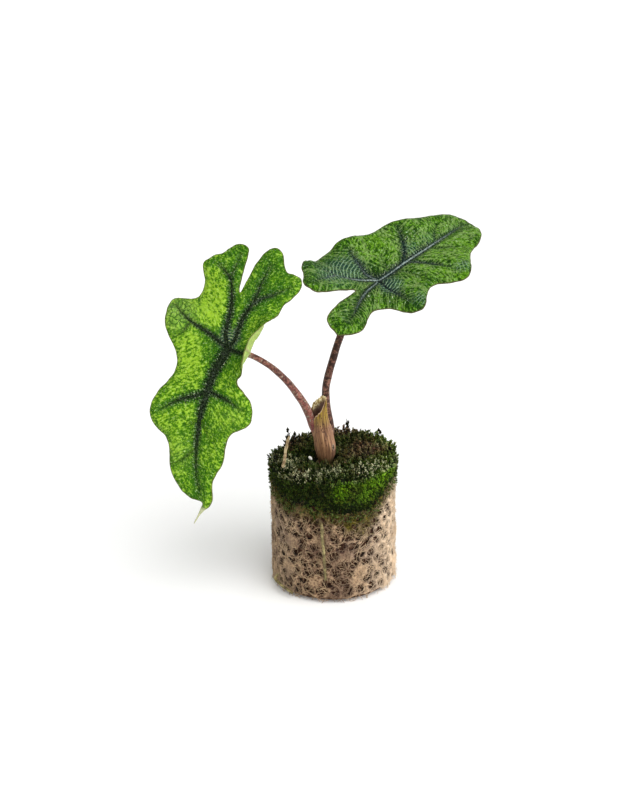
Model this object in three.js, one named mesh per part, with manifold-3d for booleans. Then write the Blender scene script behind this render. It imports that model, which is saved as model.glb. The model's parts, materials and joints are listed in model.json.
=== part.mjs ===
// A young alocasia with two lobed leaves, growing from a moss-topped fibre plug.
// Millimetres, +Z up. The origin is the centre of the plug's flat underside.
import * as THREE from 'three';
import { mergeVertices } from 'three/addons/utils/BufferGeometryUtils.js';
import Module from 'manifold-3d';

const wasm = await Module();
wasm.setup();

// Driving dimensions
const clearance = 0.3;
const plug = { radius: 17.1, sleeveWall: 0.9, mediumHeight: 33.6, sleeveTop: 33.6, sleeveFoot: 1.6 };
const holes = { around: 26, rows: 6, lowest: 3.2, pitch: 4.2, height: 2.1, unevenness: 0.22 };
const moss = {
  top: 36.8,
  slope: 0.065,
  sideRadius: 17.9,
  skirtFront: 25.5,
  skirtBack: 31,
  columns: 60,
  roughness: 0.45,
};
const stemHole = { x: -2.4, y: -1.6, radius: 3.8 };
const corm = { x: -2.4, y: -1.1, foot: 28.5, widest: 3.1, top: 35.4 };
const blade = { thickness: 0.64, bulge: 0.55, ribDepth: 0.5, samples: 2, rows: 6 };
const petiole = {
  footRadius: 1.2,
  middleRadius: 1.12,
  topRadius: 0.95,
  straightEnd: 2.2,
  sides: 10,
  steps: 26,
};
const root = { radius: 0.52, sides: 7, steps: 22 };

// The left leaf hangs with its face to the front; the right one lies nearly level.
// seat is where stalk and blade join. forward runs along the midrib and face out of
// the upper side. margin points are [along, across, foot] on the flattened blade: foot
// tells where on the ribs the blade strip to that point starts, 0 to 2 out and back
// along one rear rib, 2 to 4 along the midrib and 4 to 6 along the other rear rib.
const leftLeaf = {
  seat: [-27, -16, 75.3],
  forward: [-0.39, -0.41, -0.82],
  face: [-0.2, -0.84, 0.51],
  droop: -0.008,
  rearLift: [0, 0],
  midrib: { length: 41, bend: 0.008, bendFrom: 12 },
  rearRibs: [
    [[-8, 0.5], [-15, 2.5]],
    [[-9, -3], [-17, -6]],
  ],
  roll: { curvature: 0.2, centre: -2.5, halfLength: 10, hinge: 3.4 },
  wave: { height: 0.8, start: -5, length: 20 },
  margin: [
    [-15.5, -2.5, 0], [-20, -2, 0.5], [-25, -1.5, 0.9], [-28.5, 0, 1], [-29.5, 2.5, 1], [-28.5, 5, 1],
    [-25, 6.2, 1], [-24.4, 9, 1], [-23.5, 11.8, 1], [-21, 12.8, 1.05], [-17.5, 11, 1.2], [-13.5, 8.5, 1.5],
    [-10, 11, 1.85], [-6.5, 13.8, 2], [-2.5, 14.7, 2], [1.5, 13, 2], [4.5, 10, 2.05], [7, 7, 2.13],
    [8.7, 8.5, 2.19], [11, 12, 2.27], [15.5, 13.6, 2.35], [18.5, 12, 2.4], [20.5, 9.6, 2.46],
    [24.5, 9.2, 2.55], [29, 9.9, 2.66], [33.5, 8.6, 2.78], [39.3, 10.3, 2.94], [42.5, 8.8, 3],
    [46.8, 6.9, 3], [43.5, 6.3, 3], [41.2, 5.2, 3], [40, 2.5, 3.04], [38, -0.6, 3.1], [34.5, -3.6, 3.2],
    [31, -5.3, 3.28], [28, -6.6, 3.36], [26, -10.5, 3.46], [23, -13.2, 3.53], [19, -13.6, 3.6],
    [14, -12.5, 3.68], [10, -11.3, 3.77], [6.5, -11.8, 3.86], [3.5, -14.8, 3.95], [0.5, -17.6, 4],
    [-3.5, -19.2, 4], [-7, -19.6, 4], [-8.4, -17, 4], [-8.8, -14, 4.1], [-11, -12.4, 4.3],
    [-14, -12.4, 4.5], [-17, -14.2, 4.8], [-20, -14.6, 5], [-22.5, -11.5, 5], [-26, -9.3, 5],
    [-27.2, -6.8, 5], [-25.8, -4.4, 5.05], [-20, -4.1, 5.5],
  ],
  // Margin points that a side vein runs to
  veins: [4, 8, 14, 20, 26, 35, 38, 45, 51, 54],
};

const rightLeaf = {
  seat: [13.3, 6, 85.4],
  forward: [0.73, 0.63, 0.26],
  face: [0.05, -0.43, 0.9],
  droop: -0.006,
  rearLift: [20, 6],
  midrib: { length: 34, bend: 0.0017, bendFrom: 0 },
  rearRibs: [
    [[-7, 2.5], [-17, 8]],
    [[-8, -1], [-17, -6]],
  ],
  roll: { curvature: 0, centre: 0, halfLength: 10, hinge: 2 },
  wave: { height: 0.8, start: -2, length: 18 },
  margin: [
    [-9, 0.5, 0], [-15, 2, 0.4], [-20.5, 3, 0.8], [-23, 4.5, 1], [-23.3, 6.5, 1], [-21.5, 8.5, 1],
    [-19.5, 11, 1.1], [-17, 14, 1.3], [-13, 15.3, 1.6], [-8, 15.2, 1.85], [-4, 15.8, 2], [-0.5, 17, 2],
    [4, 16, 2.1], [9, 15, 2.22], [14, 14.5, 2.32], [19, 13, 2.42], [24.5, 11.5, 2.55], [30, 9.8, 2.7],
    [36, 6.5, 2.9], [38.5, 1.5, 3], [37.5, -2.5, 3.05], [35, -5, 3.12], [31.5, -7, 3.24],
    [27.5, -8.5, 3.36], [23.5, -12, 3.5], [20, -15, 3.58], [17.8, -16, 3.62], [14.5, -14, 3.68],
    [11, -11.5, 3.78], [8, -11.5, 3.88], [4.5, -13.5, 4], [0, -16.8, 4], [-3, -15, 4], [-5, -10.5, 4.1],
    [-9, -7.8, 4.3], [-13, -8.5, 4.55], [-17, -11, 4.8], [-20, -11, 5], [-23.5, -8.5, 5],
    [-23.5, -4, 5.05], [-19.5, -1.5, 5.3], [-14, -0.5, 5.6],
  ],
  veins: [4, 7, 11, 15, 18, 22, 26, 31, 37],
};

const clamp = THREE.MathUtils.clamp;
const lerp = THREE.MathUtils.lerp;
const smoothstep = THREE.MathUtils.smoothstep;
const radians = THREE.MathUtils.degToRad;

// A repeatable number from 0 to 1 for a pair of whole numbers
function scatter(a, b) {
  const s = Math.sin(a * 127.1 + b * 311.7 + 17.3) * 43758.5453;
  return s - Math.floor(s);
}

function geometryOf(points, triangles) {
  const geometry = new THREE.BufferGeometry();
  const numbers = points.flatMap((p) => [p.x, p.y, p.z]);
  geometry.setAttribute('position', new THREE.Float32BufferAttribute(numbers, 3));
  geometry.setIndex(triangles.flat());
  return geometry;
}

// Two triangles for a quad given corner by corner, dropping one that has no area
function quad(a, b, c, d) {
  return [[a, b, c], [a, c, d]].filter(([p, q, r]) => p !== q && q !== r && r !== p);
}

// A surface closed both ways, like a ring with a shaped section
function ringSurface(columns, rows, pointAt) {
  const points = [];
  const triangles = [];
  for (let i = 0; i < columns; i += 1) {
    for (let j = 0; j < rows; j += 1) {
      points.push(pointAt(i, j));
      const across = ((i + 1) % columns) * rows;
      const along = (j + 1) % rows;
      triangles.push(...quad(i * rows + j, i * rows + along, across + along, across + j));
    }
  }
  return geometryOf(points, triangles);
}

// A stalk along a curve with flat ends; endFacing turns its last ring to face that way
function stalk(curve, steps, sides, radiusAt, endFacing) {
  const frames = curve.computeFrenetFrames(steps, false);
  const points = [];
  const triangles = [];
  for (let i = 0; i <= steps; i += 1) {
    const t = i / steps;
    const centre = curve.getPointAt(t);
    let across = frames.normals[i];
    let upward = frames.binormals[i];
    if (i === steps && endFacing) {
      across = across.clone().projectOnPlane(endFacing).normalize();
      upward = new THREE.Vector3().crossVectors(endFacing, across).normalize();
    }
    for (let k = 0; k < sides; k += 1) {
      const angle = (k / sides) * 2 * Math.PI;
      points.push(centre.clone()
        .addScaledVector(across, radiusAt(t) * Math.cos(angle))
        .addScaledVector(upward, radiusAt(t) * Math.sin(angle)));
    }
  }
  for (let i = 0; i < steps; i += 1) {
    for (let k = 0; k < sides; k += 1) {
      const next = (k + 1) % sides;
      const [ring, nextRing] = [i * sides, (i + 1) * sides];
      triangles.push(...quad(ring + k, ring + next, nextRing + next, nextRing + k));
    }
  }
  const last = steps * sides;
  for (let k = 1; k < sides - 1; k += 1) {
    triangles.push([0, k + 1, k]);
    triangles.push([last, last + k, last + k + 1]);
  }
  return geometryOf(points, triangles);
}

function curveThrough(points) {
  return new THREE.CatmullRomCurve3(points.map((p) => new THREE.Vector3(...p)), false, 'centripetal');
}

function solidOf(geometry) {
  const bare = geometry.clone();
  bare.deleteAttribute('normal');
  bare.deleteAttribute('uv');
  const merged = mergeVertices(bare, 1e-4);
  return new wasm.Manifold(new wasm.Mesh({
    numProp: 3,
    vertProperties: Float32Array.from(merged.attributes.position.array),
    triVerts: Uint32Array.from(merged.index.array),
  }));
}

function geometryFrom(solid) {
  const mesh = solid.getMesh();
  const geometry = new THREE.BufferGeometry();
  geometry.setAttribute('position', new THREE.BufferAttribute(mesh.vertProperties, 3));
  geometry.setIndex(new THREE.BufferAttribute(mesh.triVerts, 1));
  return geometry;
}

// Leaf blades

// The blade's own directions: forward, up out of the face, and across to its left
function bladeFrame(leaf) {
  const forward = new THREE.Vector3(...leaf.forward).normalize();
  const up = new THREE.Vector3(...leaf.face).projectOnPlane(forward).normalize();
  const left = new THREE.Vector3().crossVectors(up, forward);
  return { seat: new THREE.Vector3(...leaf.seat), forward, up, left };
}

function midribAcross(leaf, along) {
  return leaf.midrib.bend * Math.max(along - leaf.midrib.bendFrom, 0) ** 2;
}

// Where a point of the flattened blade lies once the leaf droops, folds, curls and waves
function bladePoint(leaf, frame, along, across) {
  const side = smoothstep(across, -6, 6);
  const lift = radians(lerp(leaf.rearLift[1], leaf.rearLift[0], side)) * smoothstep(-along, 0, 6);
  const startAngle = along < 0 ? -lift : 0;
  const curvature = along < 0 ? 1e-5 : leaf.droop;
  const angle = startAngle + curvature * along;
  const reach = (Math.sin(angle) - Math.sin(startAngle)) / curvature;
  const rise = -(Math.cos(angle) - Math.cos(startAngle)) / curvature;

  const ribAcross = midribAcross(leaf, along);
  const sign = across < ribAcross ? -1 : 1;
  const distance = Math.abs(across - ribAcross);
  const rolled = sign < 0 ? 0 : Math.exp(-(((along - leaf.roll.centre) / leaf.roll.halfLength) ** 8));
  const fold = radians(10) * smoothstep(along, -8, 0);
  const cup = leaf.roll.curvature * rolled - 0.015;
  const hinge = 2 + (leaf.roll.hinge - 2) * rolled;
  const flat = Math.min(distance, hinge);
  const bent = fold + cup * Math.max(distance - hinge, 0);
  const out = flat * Math.cos(fold) + (Math.sin(bent) - Math.sin(fold)) / cup;
  const up = flat * Math.sin(fold) - (Math.cos(bent) - Math.cos(fold)) / cup;
  const wave = leaf.wave.height * Math.min(distance / 12, 1.5) ** 2
    * Math.sin((2 * Math.PI * (along - leaf.wave.start)) / leaf.wave.length);

  return frame.seat.clone()
    .addScaledVector(frame.forward, reach - Math.sin(angle) * (up + wave))
    .addScaledVector(frame.up, rise + Math.cos(angle) * (up + wave))
    .addScaledVector(frame.left, ribAcross + sign * out);
}

function bladeNormal(leaf, frame, along, across) {
  const step = 0.4;
  const pointAt = (a, b) => bladePoint(leaf, frame, along + a, across + b);
  const alongwise = pointAt(step, 0).sub(pointAt(-step, 0));
  const crosswise = pointAt(0, step).sub(pointAt(0, -step));
  return alongwise.cross(crosswise).normalize();
}

// The point of the ribs that a foot number stands for
function ribPoint(leaf, foot) {
  const rib = Math.min(Math.floor(foot / 2), 2);
  const t = 1 - Math.abs(foot - 2 * rib - 1);
  if (rib === 1) {
    const along = t * leaf.midrib.length;
    return [along, midribAcross(leaf, along)];
  }
  const [bend, end] = leaf.rearRibs[rib / 2];
  return [0, 1].map((k) => 2 * t * (1 - t) * bend[k] + t * t * end[k]);
}

// Strips from the ribs to the margin, right round the blade, with a closed smooth margin
function bladeStrips(leaf) {
  const steps = [6, 12, 6];
  const count = leaf.margin.length;
  const strips = [];
  let reached = 0;
  for (let i = 0; i < count; i += 1) {
    const [before, from, to, after] = [-1, 0, 1, 2].map((k) => leaf.margin[(i + k + count) % count]);
    const lastFoot = i === count - 1 ? 6 : to[2];
    for (let k = 0; k < blade.samples; k += 1) {
      const t = k / blade.samples;
      const [along, across] = [0, 1].map((n) => 0.5 * (2 * from[n] + (to[n] - before[n]) * t
        + (2 * before[n] - 5 * from[n] + 4 * to[n] - after[n]) * t * t
        + (3 * from[n] - before[n] - 3 * to[n] + after[n]) * t * t * t));
      const goal = lerp(from[2], lastFoot, t);
      const step = steps[Math.min(Math.floor(goal / 2), 2)];
      const foot = Math.round(goal * step) / step;
      // Each mark on a rib is a foot on both its sides, so that the strips join there
      while (reached < foot - 1e-6) {
        const stride = steps[Math.min(Math.floor(reached / 2), 2)];
        reached = Math.round(reached * stride + 1) / stride;
        if (reached < foot - 1e-6) strips.push({ along, across, foot: reached, vein: i + t });
      }
      strips.push({ along, across, foot, vein: i + t });
    }
  }
  return strips;
}

// How far a strip is from the nearest side vein: 0 on a vein, 1 halfway between two
function betweenVeins(leaf, place) {
  const count = leaf.margin.length;
  const stops = [leaf.veins.at(-1) - count, ...leaf.veins, leaf.veins[0] + count];
  const n = stops.findIndex((stop) => stop > place);
  const t = (place - stops[n - 1]) / (stops[n] - stops[n - 1]);
  return Math.sin(Math.PI * t) ** 2;
}

// A closed blade: quilted above between the veins, ribbed below along them
function bladeGeometry(leaf) {
  const frame = bladeFrame(leaf);
  const strips = bladeStrips(leaf);
  const points = [];
  const triangles = [];
  const ribPoints = new Map();
  const { rows, thickness } = blade;

  function addPair(along, across, height, depth) {
    const place = bladePoint(leaf, frame, along, across);
    const normal = bladeNormal(leaf, frame, along, across);
    points.push(place.clone().addScaledVector(normal, thickness / 2 + height));
    points.push(place.clone().addScaledVector(normal, -thickness / 2 - depth));
    return points.length / 2 - 1;
  }

  const grid = strips.map(({ along, across, foot, vein }) => {
    const [ribAlong, ribAcross] = ribPoint(leaf, foot);
    const key = `${ribAlong.toFixed(3)} ${ribAcross.toFixed(3)}`;
    if (!ribPoints.has(key)) ribPoints.set(key, addPair(ribAlong, ribAcross, 0, blade.ribDepth));
    const line = [ribPoints.get(key)];
    const quilting = betweenVeins(leaf, vein);
    for (let j = 1; j <= rows; j += 1) {
      const t = j / rows;
      const swell = blade.bulge * quilting * Math.sin(Math.PI * t) ** 0.7;
      const veinDepth = 0.3 * (1 - quilting) ** 6 * (1 - t);
      line.push(addPair(lerp(ribAlong, along, t), lerp(ribAcross, across, t), swell, veinDepth - swell));
    }
    return line;
  });

  grid.forEach((line, i) => {
    const next = grid[(i + 1) % grid.length];
    for (let j = 0; j < rows; j += 1) {
      for (const [a, b, c] of quad(line[j], next[j], next[j + 1], line[j + 1])) {
        triangles.push([2 * a, 2 * b, 2 * c], [2 * a + 1, 2 * c + 1, 2 * b + 1]);
      }
    }
    const [edge, nextEdge] = [line[rows], next[rows]];
    triangles.push(...quad(2 * edge, 2 * nextEdge, 2 * nextEdge + 1, 2 * edge + 1));
  });
  return geometryOf(points, triangles);
}

// Leaf stalks

// A leaf's stalk comes up to the middle of the blade's underside and ends square to it
function petioleGeometry(leaf, points) {
  const frame = bladeFrame(leaf);
  const underside = blade.thickness / 2 + blade.ribDepth + clearance;
  const below = (depth) => frame.seat.clone().addScaledVector(frame.up, -depth).toArray();
  const curve = curveThrough([...points, below(underside + petiole.straightEnd), below(underside)]);
  const { footRadius, middleRadius, topRadius, steps, sides } = petiole;
  const radiusAt = (t) => (t < 0.3 ? lerp(footRadius, middleRadius, t / 0.3)
    : lerp(middleRadius, topRadius, (t - 0.3) / 0.7));
  return stalk(curve, steps, sides, radiusAt, frame.up);
}

const leftPetiole = [
  [-3.9, -0.8, 35.8], [-4.3, -1, 41], [-5.2, -1.5, 46.5], [-6.2, -2.4, 50.6], [-8.8, -4.6, 56.7],
  [-13.7, -8.2, 65.1], [-21, -11.5, 71.2],
];
const rightPetiole = [
  [-1, -0.7, 35.8], [-0.7, -0.8, 41], [-0.7, -0.8, 46.5], [-1, -0.5, 51], [-1.3, -0.2, 54.7],
  [-1, 0.6, 60.5], [0.3, 1.7, 66.5], [2.8, 3.2, 71.7], [8, 5.8, 78.4],
];

// Papery sheath: a curved plate wrapped round the front of the stalks, drawn out to a point
function sheathGeometry() {
  const wall = 0.6;
  const columns = 10;
  const rings = 12;
  const centreLine = curveThrough([
    [-2.3, -1.9, 35.8], [-2.3, -1.9, 40.4], [-2.6, -1.9, 44.8], [-2.9, -2.1, 49.7], [-2.2, -2.5, 55.2],
  ]);
  const radiusAt = (t) => lerp(2.65, 2.1, t);
  const halfSweepAt = (t) => radians(72) * (t < 0.55 ? 1 : Math.sqrt(1 - ((t - 0.55) / 0.46) ** 2));
  const points = [];
  const triangles = [];
  for (let i = 0; i <= rings; i += 1) {
    const t = i / rings;
    const centre = centreLine.getPointAt(t);
    for (const offset of [wall / 2, -wall / 2]) {
      for (let k = 0; k <= columns; k += 1) {
        const angle = radians(-90) + halfSweepAt(t) * ((2 * k) / columns - 1);
        const radius = radiusAt(t) + offset;
        points.push(new THREE.Vector3(
          centre.x + radius * Math.cos(angle),
          centre.y + radius * Math.sin(angle),
          centre.z,
        ));
      }
    }
  }
  const width = 2 * (columns + 1);
  const outside = [...Array(columns + 1).keys()];
  const loop = [...outside, ...outside.map((k) => width - 1 - k)];
  for (let i = 0; i < rings; i += 1) {
    const [ring, nextRing] = [i * width, (i + 1) * width];
    loop.forEach((here, n) => {
      const next = loop[(n + 1) % loop.length];
      triangles.push(...quad(ring + here, ring + next, nextRing + next, nextRing + here));
    });
  }
  const top = rings * width;
  for (let k = 0; k < columns; k += 1) {
    const inner = columns + 1 + k;
    triangles.push(...quad(k, inner, inner + 1, k + 1));
    triangles.push(...quad(top + k, top + k + 1, top + inner + 1, top + inner));
  }
  return geometryOf(points, triangles);
}

// Corm with its two strong roots, one down the front of the sleeve and one along its foot

const rootRoutes = [
  [[-2.6, -2.2, 30.6], [-4, -8, 28.4], [-3.7, -14, 25], [-3.2, -17.5, 22], [-3, -18, 19], [-2.8, -18, 13],
    [-2.5, -18, 7.6]],
  [[-3.6, -2, 30.2], [-7, -4.6, 21], [-11.6, -6.2, 10], [-14.8, -7, 4.6], [-16.6, -7.9, 3.4],
    [-15.4, -10.2, 2.8], [-13.4, -12.6, 2.3], [-11.6, -14.1, 1.8]],
];

function rootSolids(extra) {
  const radiusAt = (t) => root.radius * lerp(1.1, 0.75, t) + extra;
  return rootRoutes.map((route) => solidOf(stalk(curveThrough(route), root.steps, root.sides, radiusAt)));
}

function cormSolid(extra) {
  const { foot, widest, top } = corm;
  const profile = new THREE.SplineCurve([
    new THREE.Vector2(widest * 0.55 + extra, foot - extra),
    new THREE.Vector2(widest * 0.97 + extra, foot + 1.6),
    new THREE.Vector2(widest + extra, foot + 3.2),
    new THREE.Vector2(widest * 0.8 + extra, foot + 5.4),
    new THREE.Vector2(widest * 0.68 + extra, top + extra),
  ]).getPoints(8);
  const outline = [new THREE.Vector2(0, foot - extra), ...profile, new THREE.Vector2(0, top + extra)];
  const body = new THREE.LatheGeometry(outline, 20);
  body.rotateX(Math.PI / 2);
  body.translate(corm.x, corm.y, 0);
  return solidOf(body);
}

function cormGeometry() {
  const solid = rootSolids(0).reduce((whole, piece) => whole.add(piece), cormSolid(0));
  return geometryFrom(solid);
}

// Growing medium: a plain cylinder with a hole for the corm and a channel for each root
function mediumGeometry() {
  const radius = plug.radius - plug.sleeveWall - clearance;
  const bevel = 0.8;
  const height = plug.mediumHeight;
  const outline = [[0, 0], [radius - bevel, 0], [radius, bevel], [radius, height], [0, height]];
  const body = new THREE.LatheGeometry(outline.map(([r, z]) => new THREE.Vector2(r, z)), 48);
  body.rotateX(Math.PI / 2);
  const shaft = new THREE.CylinderGeometry(corm.widest + clearance, corm.widest + clearance, 6, 20);
  shaft.rotateX(Math.PI / 2);
  shaft.translate(corm.x, corm.y, corm.foot + 3.2 + 3);
  const cuts = [solidOf(shaft), cormSolid(clearance), ...rootSolids(clearance)];
  return geometryFrom(cuts.reduce((whole, cut) => whole.subtract(cut), solidOf(body)));
}

// Fibre sleeve: a thin shell with staggered rows of uneven holes and a ragged foot
function sleeveGeometry() {
  const columns = holes.around * 2;
  const levels = [plug.sleeveFoot];
  for (let row = 0; row < holes.rows; row += 1) {
    const low = holes.lowest + row * holes.pitch;
    levels.push(low, low + holes.height);
  }
  levels.push(plug.sleeveTop);
  const isHole = (column, level) => level % 2 === 1 && level < levels.length - 2
    && (column + (level - 1) / 2) % 2 === 0;
  const points = [];
  const triangles = [];
  for (let level = 0; level < levels.length; level += 1) {
    for (let column = 0; column < columns; column += 1) {
      const inRow = level > 0 && level < levels.length - 1;
      const sway = inRow ? holes.unevenness : 0;
      const ragged = level === 0 ? 0.9 * Math.sin(column * 0.85) * Math.sin(column * 0.31) : 0;
      const turn = column + (scatter(column, level) - 0.5) * 2 * sway;
      const height = levels[level] + ragged + (scatter(level, column + 50) - 0.5) * 2 * sway * 1.6;
      const angle = (turn / columns) * 2 * Math.PI;
      for (const radius of [plug.radius, plug.radius - plug.sleeveWall]) {
        points.push(new THREE.Vector3(radius * Math.cos(angle), radius * Math.sin(angle), height));
      }
    }
  }
  // Outer point of a grid corner; the inner one follows it
  const corner = (level, column) => 2 * (level * columns + ((column + columns) % columns));
  for (let level = 0; level < levels.length - 1; level += 1) {
    for (let column = 0; column < columns; column += 1) {
      const around = [corner(level, column), corner(level, column + 1), corner(level + 1, column + 1),
        corner(level + 1, column)];
      if (isHole(column, level)) {
        around.forEach((here, k) => {
          const next = around[(k + 1) % 4];
          triangles.push(...quad(here, next, next + 1, here + 1));
        });
      } else {
        triangles.push(...quad(...around));
        triangles.push(...quad(...around.map((n) => n + 1).reverse()));
      }
    }
  }
  for (let column = 0; column < columns; column += 1) {
    const [low, nextLow] = [corner(0, column), corner(0, column + 1)];
    const [high, nextHigh] = [corner(levels.length - 1, column), corner(levels.length - 1, column + 1)];
    triangles.push(...quad(nextLow, low, low + 1, nextLow + 1));
    triangles.push(...quad(high, nextHigh, nextHigh + 1, high + 1));
  }
  const shell = solidOf(geometryOf(points, triangles));
  return geometryFrom(rootSolids(clearance).reduce((whole, cut) => whole.subtract(cut), shell));
}

// Moss cap: over the top of the plug and down its side, deepest at the front
function mossHeight(x, y) {
  const fromStem = Math.hypot(x - stemHole.x, y - stemHole.y);
  return moss.top + moss.slope * x - 0.8 * Math.exp(-((fromStem / 6) ** 2));
}

// Cushions of moss a few millimetres across, from -1 to 1
function cushions(x, y, z) {
  return Math.sin(1.5 * x + 0.9 * y + 0.4 * z) * Math.sin(1.4 * y - 0.7 * x + 1.3 * z + 0.8)
    + 0.5 * Math.sin(2.3 * x - 1.1 * y + 2.1 * z + 2) * Math.sin(2.5 * y + 0.6 * x);
}

function mossGeometry() {
  const innerRadius = plug.radius + clearance;
  const underside = plug.sleeveTop + clearance;
  // Shares of the way out across the top, then down the side; the inside follows
  const topShares = [0, 0.1, 0.24, 0.38, 0.52, 0.66, 0.8, 0.91, 0.98];
  const sideShares = [0.12, 0.3, 0.48, 0.66, 0.84, 1];
  const section = [
    ...topShares.map((share) => ['top', share]),
    ...sideShares.map((share) => ['side', share]),
    ['inside', 1],
    ['inside', 0],
    ['underside', 0],
  ];
  return ringSurface(moss.columns, section.length, (column, row) => {
    const [part, share] = section[row];
    const angle = (column / moss.columns) * 2 * Math.PI;
    const outward = new THREE.Vector3(Math.cos(angle), Math.sin(angle), 0);
    const front = clamp(0.5 - 0.75 * outward.y + 0.25 * outward.x, 0, 1);
    const ragged = 1.2 * Math.sin(3.1 * angle + 1) * (1 - front) + 1.4 * (scatter(column, 3) - 0.5);
    const skirt = lerp(moss.skirtBack, moss.skirtFront, front) + ragged;
    if (part === 'inside') {
      return outward.multiplyScalar(innerRadius).setZ(share ? skirt : underside);
    }
    if (part === 'side') {
      const rim = mossHeight(moss.sideRadius * outward.x, moss.sideRadius * outward.y) - 0.6;
      const radius = moss.sideRadius + 0.25 - 0.35 * share;
      const point = outward.clone().multiplyScalar(radius).setZ(lerp(rim, skirt, share));
      const swell = moss.roughness * (cushions(point.x, point.y, point.z) + 0.3) * (1.15 - share);
      return point.addScaledVector(outward, swell);
    }
    const radius = lerp(stemHole.radius, moss.sideRadius, share);
    const point = outward.multiplyScalar(radius);
    point.x += stemHole.x * (1 - share);
    point.y += stemHole.y * (1 - share);
    if (part === 'underside') return point.setZ(underside);
    const swell = moss.roughness * cushions(point.x, point.y, 0) * Math.min(1, 0.3 + 4 * share);
    return point.setZ(mossHeight(point.x, point.y) + 1.4 * swell - (share > 0.95 ? 0.25 : 0));
  });
}

// Dry stalk left lying on the moss, and a grain of perlite beside the stem
function dryStalkGeometry() {
  const curve = curveThrough([[-13.6, -9, 37.6], [-13.1, -5, 38.3], [-12.7, -1, 39.6], [-11.9, 2.6, 41.4]]);
  return stalk(curve, 8, 6, (t) => 0.6 + 0.12 * Math.sin(9 * t));
}

function perliteGeometry() {
  const grain = new THREE.IcosahedronGeometry(0.75, 0);
  grain.scale(1, 0.85, 1.1);
  grain.rotateZ(0.5);
  grain.translate(-6.6, -3.6, 37.9);
  return grain;
}

const plant = new THREE.Group();

function addPiece(name, geometry, color, roughness) {
  geometry.computeVertexNormals();
  const mesh = new THREE.Mesh(geometry, new THREE.MeshStandardMaterial({ color, roughness, metalness: 0 }));
  mesh.name = name;
  plant.add(mesh);
}

addPiece('growing_medium', mediumGeometry(), '#2c2018', 0.95);
addPiece('fibre_sleeve', sleeveGeometry(), '#97806a', 0.95);
addPiece('moss', mossGeometry(), '#2f5a1d', 0.95);
addPiece('corm_with_roots', cormGeometry(), '#b09a72', 0.8);
addPiece('stem_sheath', sheathGeometry(), '#a8835b', 0.8);
addPiece('petiole_left', petioleGeometry(leftLeaf, leftPetiole), '#8d6259', 0.7);
addPiece('petiole_right', petioleGeometry(rightLeaf, rightPetiole), '#8d6259', 0.7);
addPiece('leaf_left', bladeGeometry(leftLeaf), '#6fae2c', 0.55);
addPiece('leaf_right', bladeGeometry(rightLeaf), '#3d8026', 0.5);
addPiece('dry_stalk', dryStalkGeometry(), '#b9a27d', 0.9);
addPiece('perlite_grain', perliteGeometry(), '#f1efe8', 0.9);

export default plant;
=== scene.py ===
import json
import math
from functools import partial

import bmesh
import bpy
import numpy as np
from mathutils import Matrix, Vector, geometry, kdtree

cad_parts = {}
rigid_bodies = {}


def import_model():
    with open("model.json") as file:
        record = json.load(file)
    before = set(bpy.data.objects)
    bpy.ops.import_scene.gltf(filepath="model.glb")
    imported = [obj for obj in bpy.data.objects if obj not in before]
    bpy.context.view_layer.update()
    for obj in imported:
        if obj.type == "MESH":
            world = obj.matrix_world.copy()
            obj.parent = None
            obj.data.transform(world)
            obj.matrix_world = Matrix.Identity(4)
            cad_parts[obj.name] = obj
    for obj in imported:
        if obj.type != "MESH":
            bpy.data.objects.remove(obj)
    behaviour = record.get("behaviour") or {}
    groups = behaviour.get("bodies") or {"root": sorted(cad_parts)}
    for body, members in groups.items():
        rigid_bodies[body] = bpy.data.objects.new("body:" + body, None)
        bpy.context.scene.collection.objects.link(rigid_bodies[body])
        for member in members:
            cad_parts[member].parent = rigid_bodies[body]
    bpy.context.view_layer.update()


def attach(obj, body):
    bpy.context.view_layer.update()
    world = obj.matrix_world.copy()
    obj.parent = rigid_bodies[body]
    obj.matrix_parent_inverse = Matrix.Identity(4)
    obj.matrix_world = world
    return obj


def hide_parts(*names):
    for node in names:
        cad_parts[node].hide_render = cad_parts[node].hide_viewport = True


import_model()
print("packed model loaded")

# Lengths are millimetres everywhere until meshObject turns them into metres.

# Short words for the node kinds used most, each with its mode
nodeKinds = {
    "noise": ("TexNoise", {}),
    "ramp": ("ValToRGB", {}),
    "range": ("MapRange", {}),
    "ease": ("MapRange", {"interpolation_type": "SMOOTHSTEP"}),
    "blend": ("Mix", {"data_type": "RGBA"}),
    "plus": ("Math", {"operation": "ADD"}),
    "minus": ("Math", {"operation": "SUBTRACT"}),
    "times": ("Math", {"operation": "MULTIPLY"}),
    "timesPlus": ("Math", {"operation": "MULTIPLY_ADD"}),
    "sine": ("Math", {"operation": "SINE"}),
    "stretch": ("VectorMath", {"operation": "MULTIPLY"}),
}


def linear(hexColour):
    # sRGB hex to the linear colour that sockets take
    parts = [int(hexColour[i:i + 2], 16) / 255 for i in (1, 3, 5)]
    return [p / 12.92 if p <= 0.04045 else ((p + 0.055) / 1.055) ** 2.4 for p in parts] + [1.0]


def setSocket(tree, socket, value):
    # Links another node's output, or sets a number, a vector or a hex colour
    if isinstance(value, bpy.types.NodeSocket):
        tree.links.new(value, socket)
    else:
        isColour = isinstance(value, str) and value.startswith("#")
        socket.default_value = linear(value) if isColour else value


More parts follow.
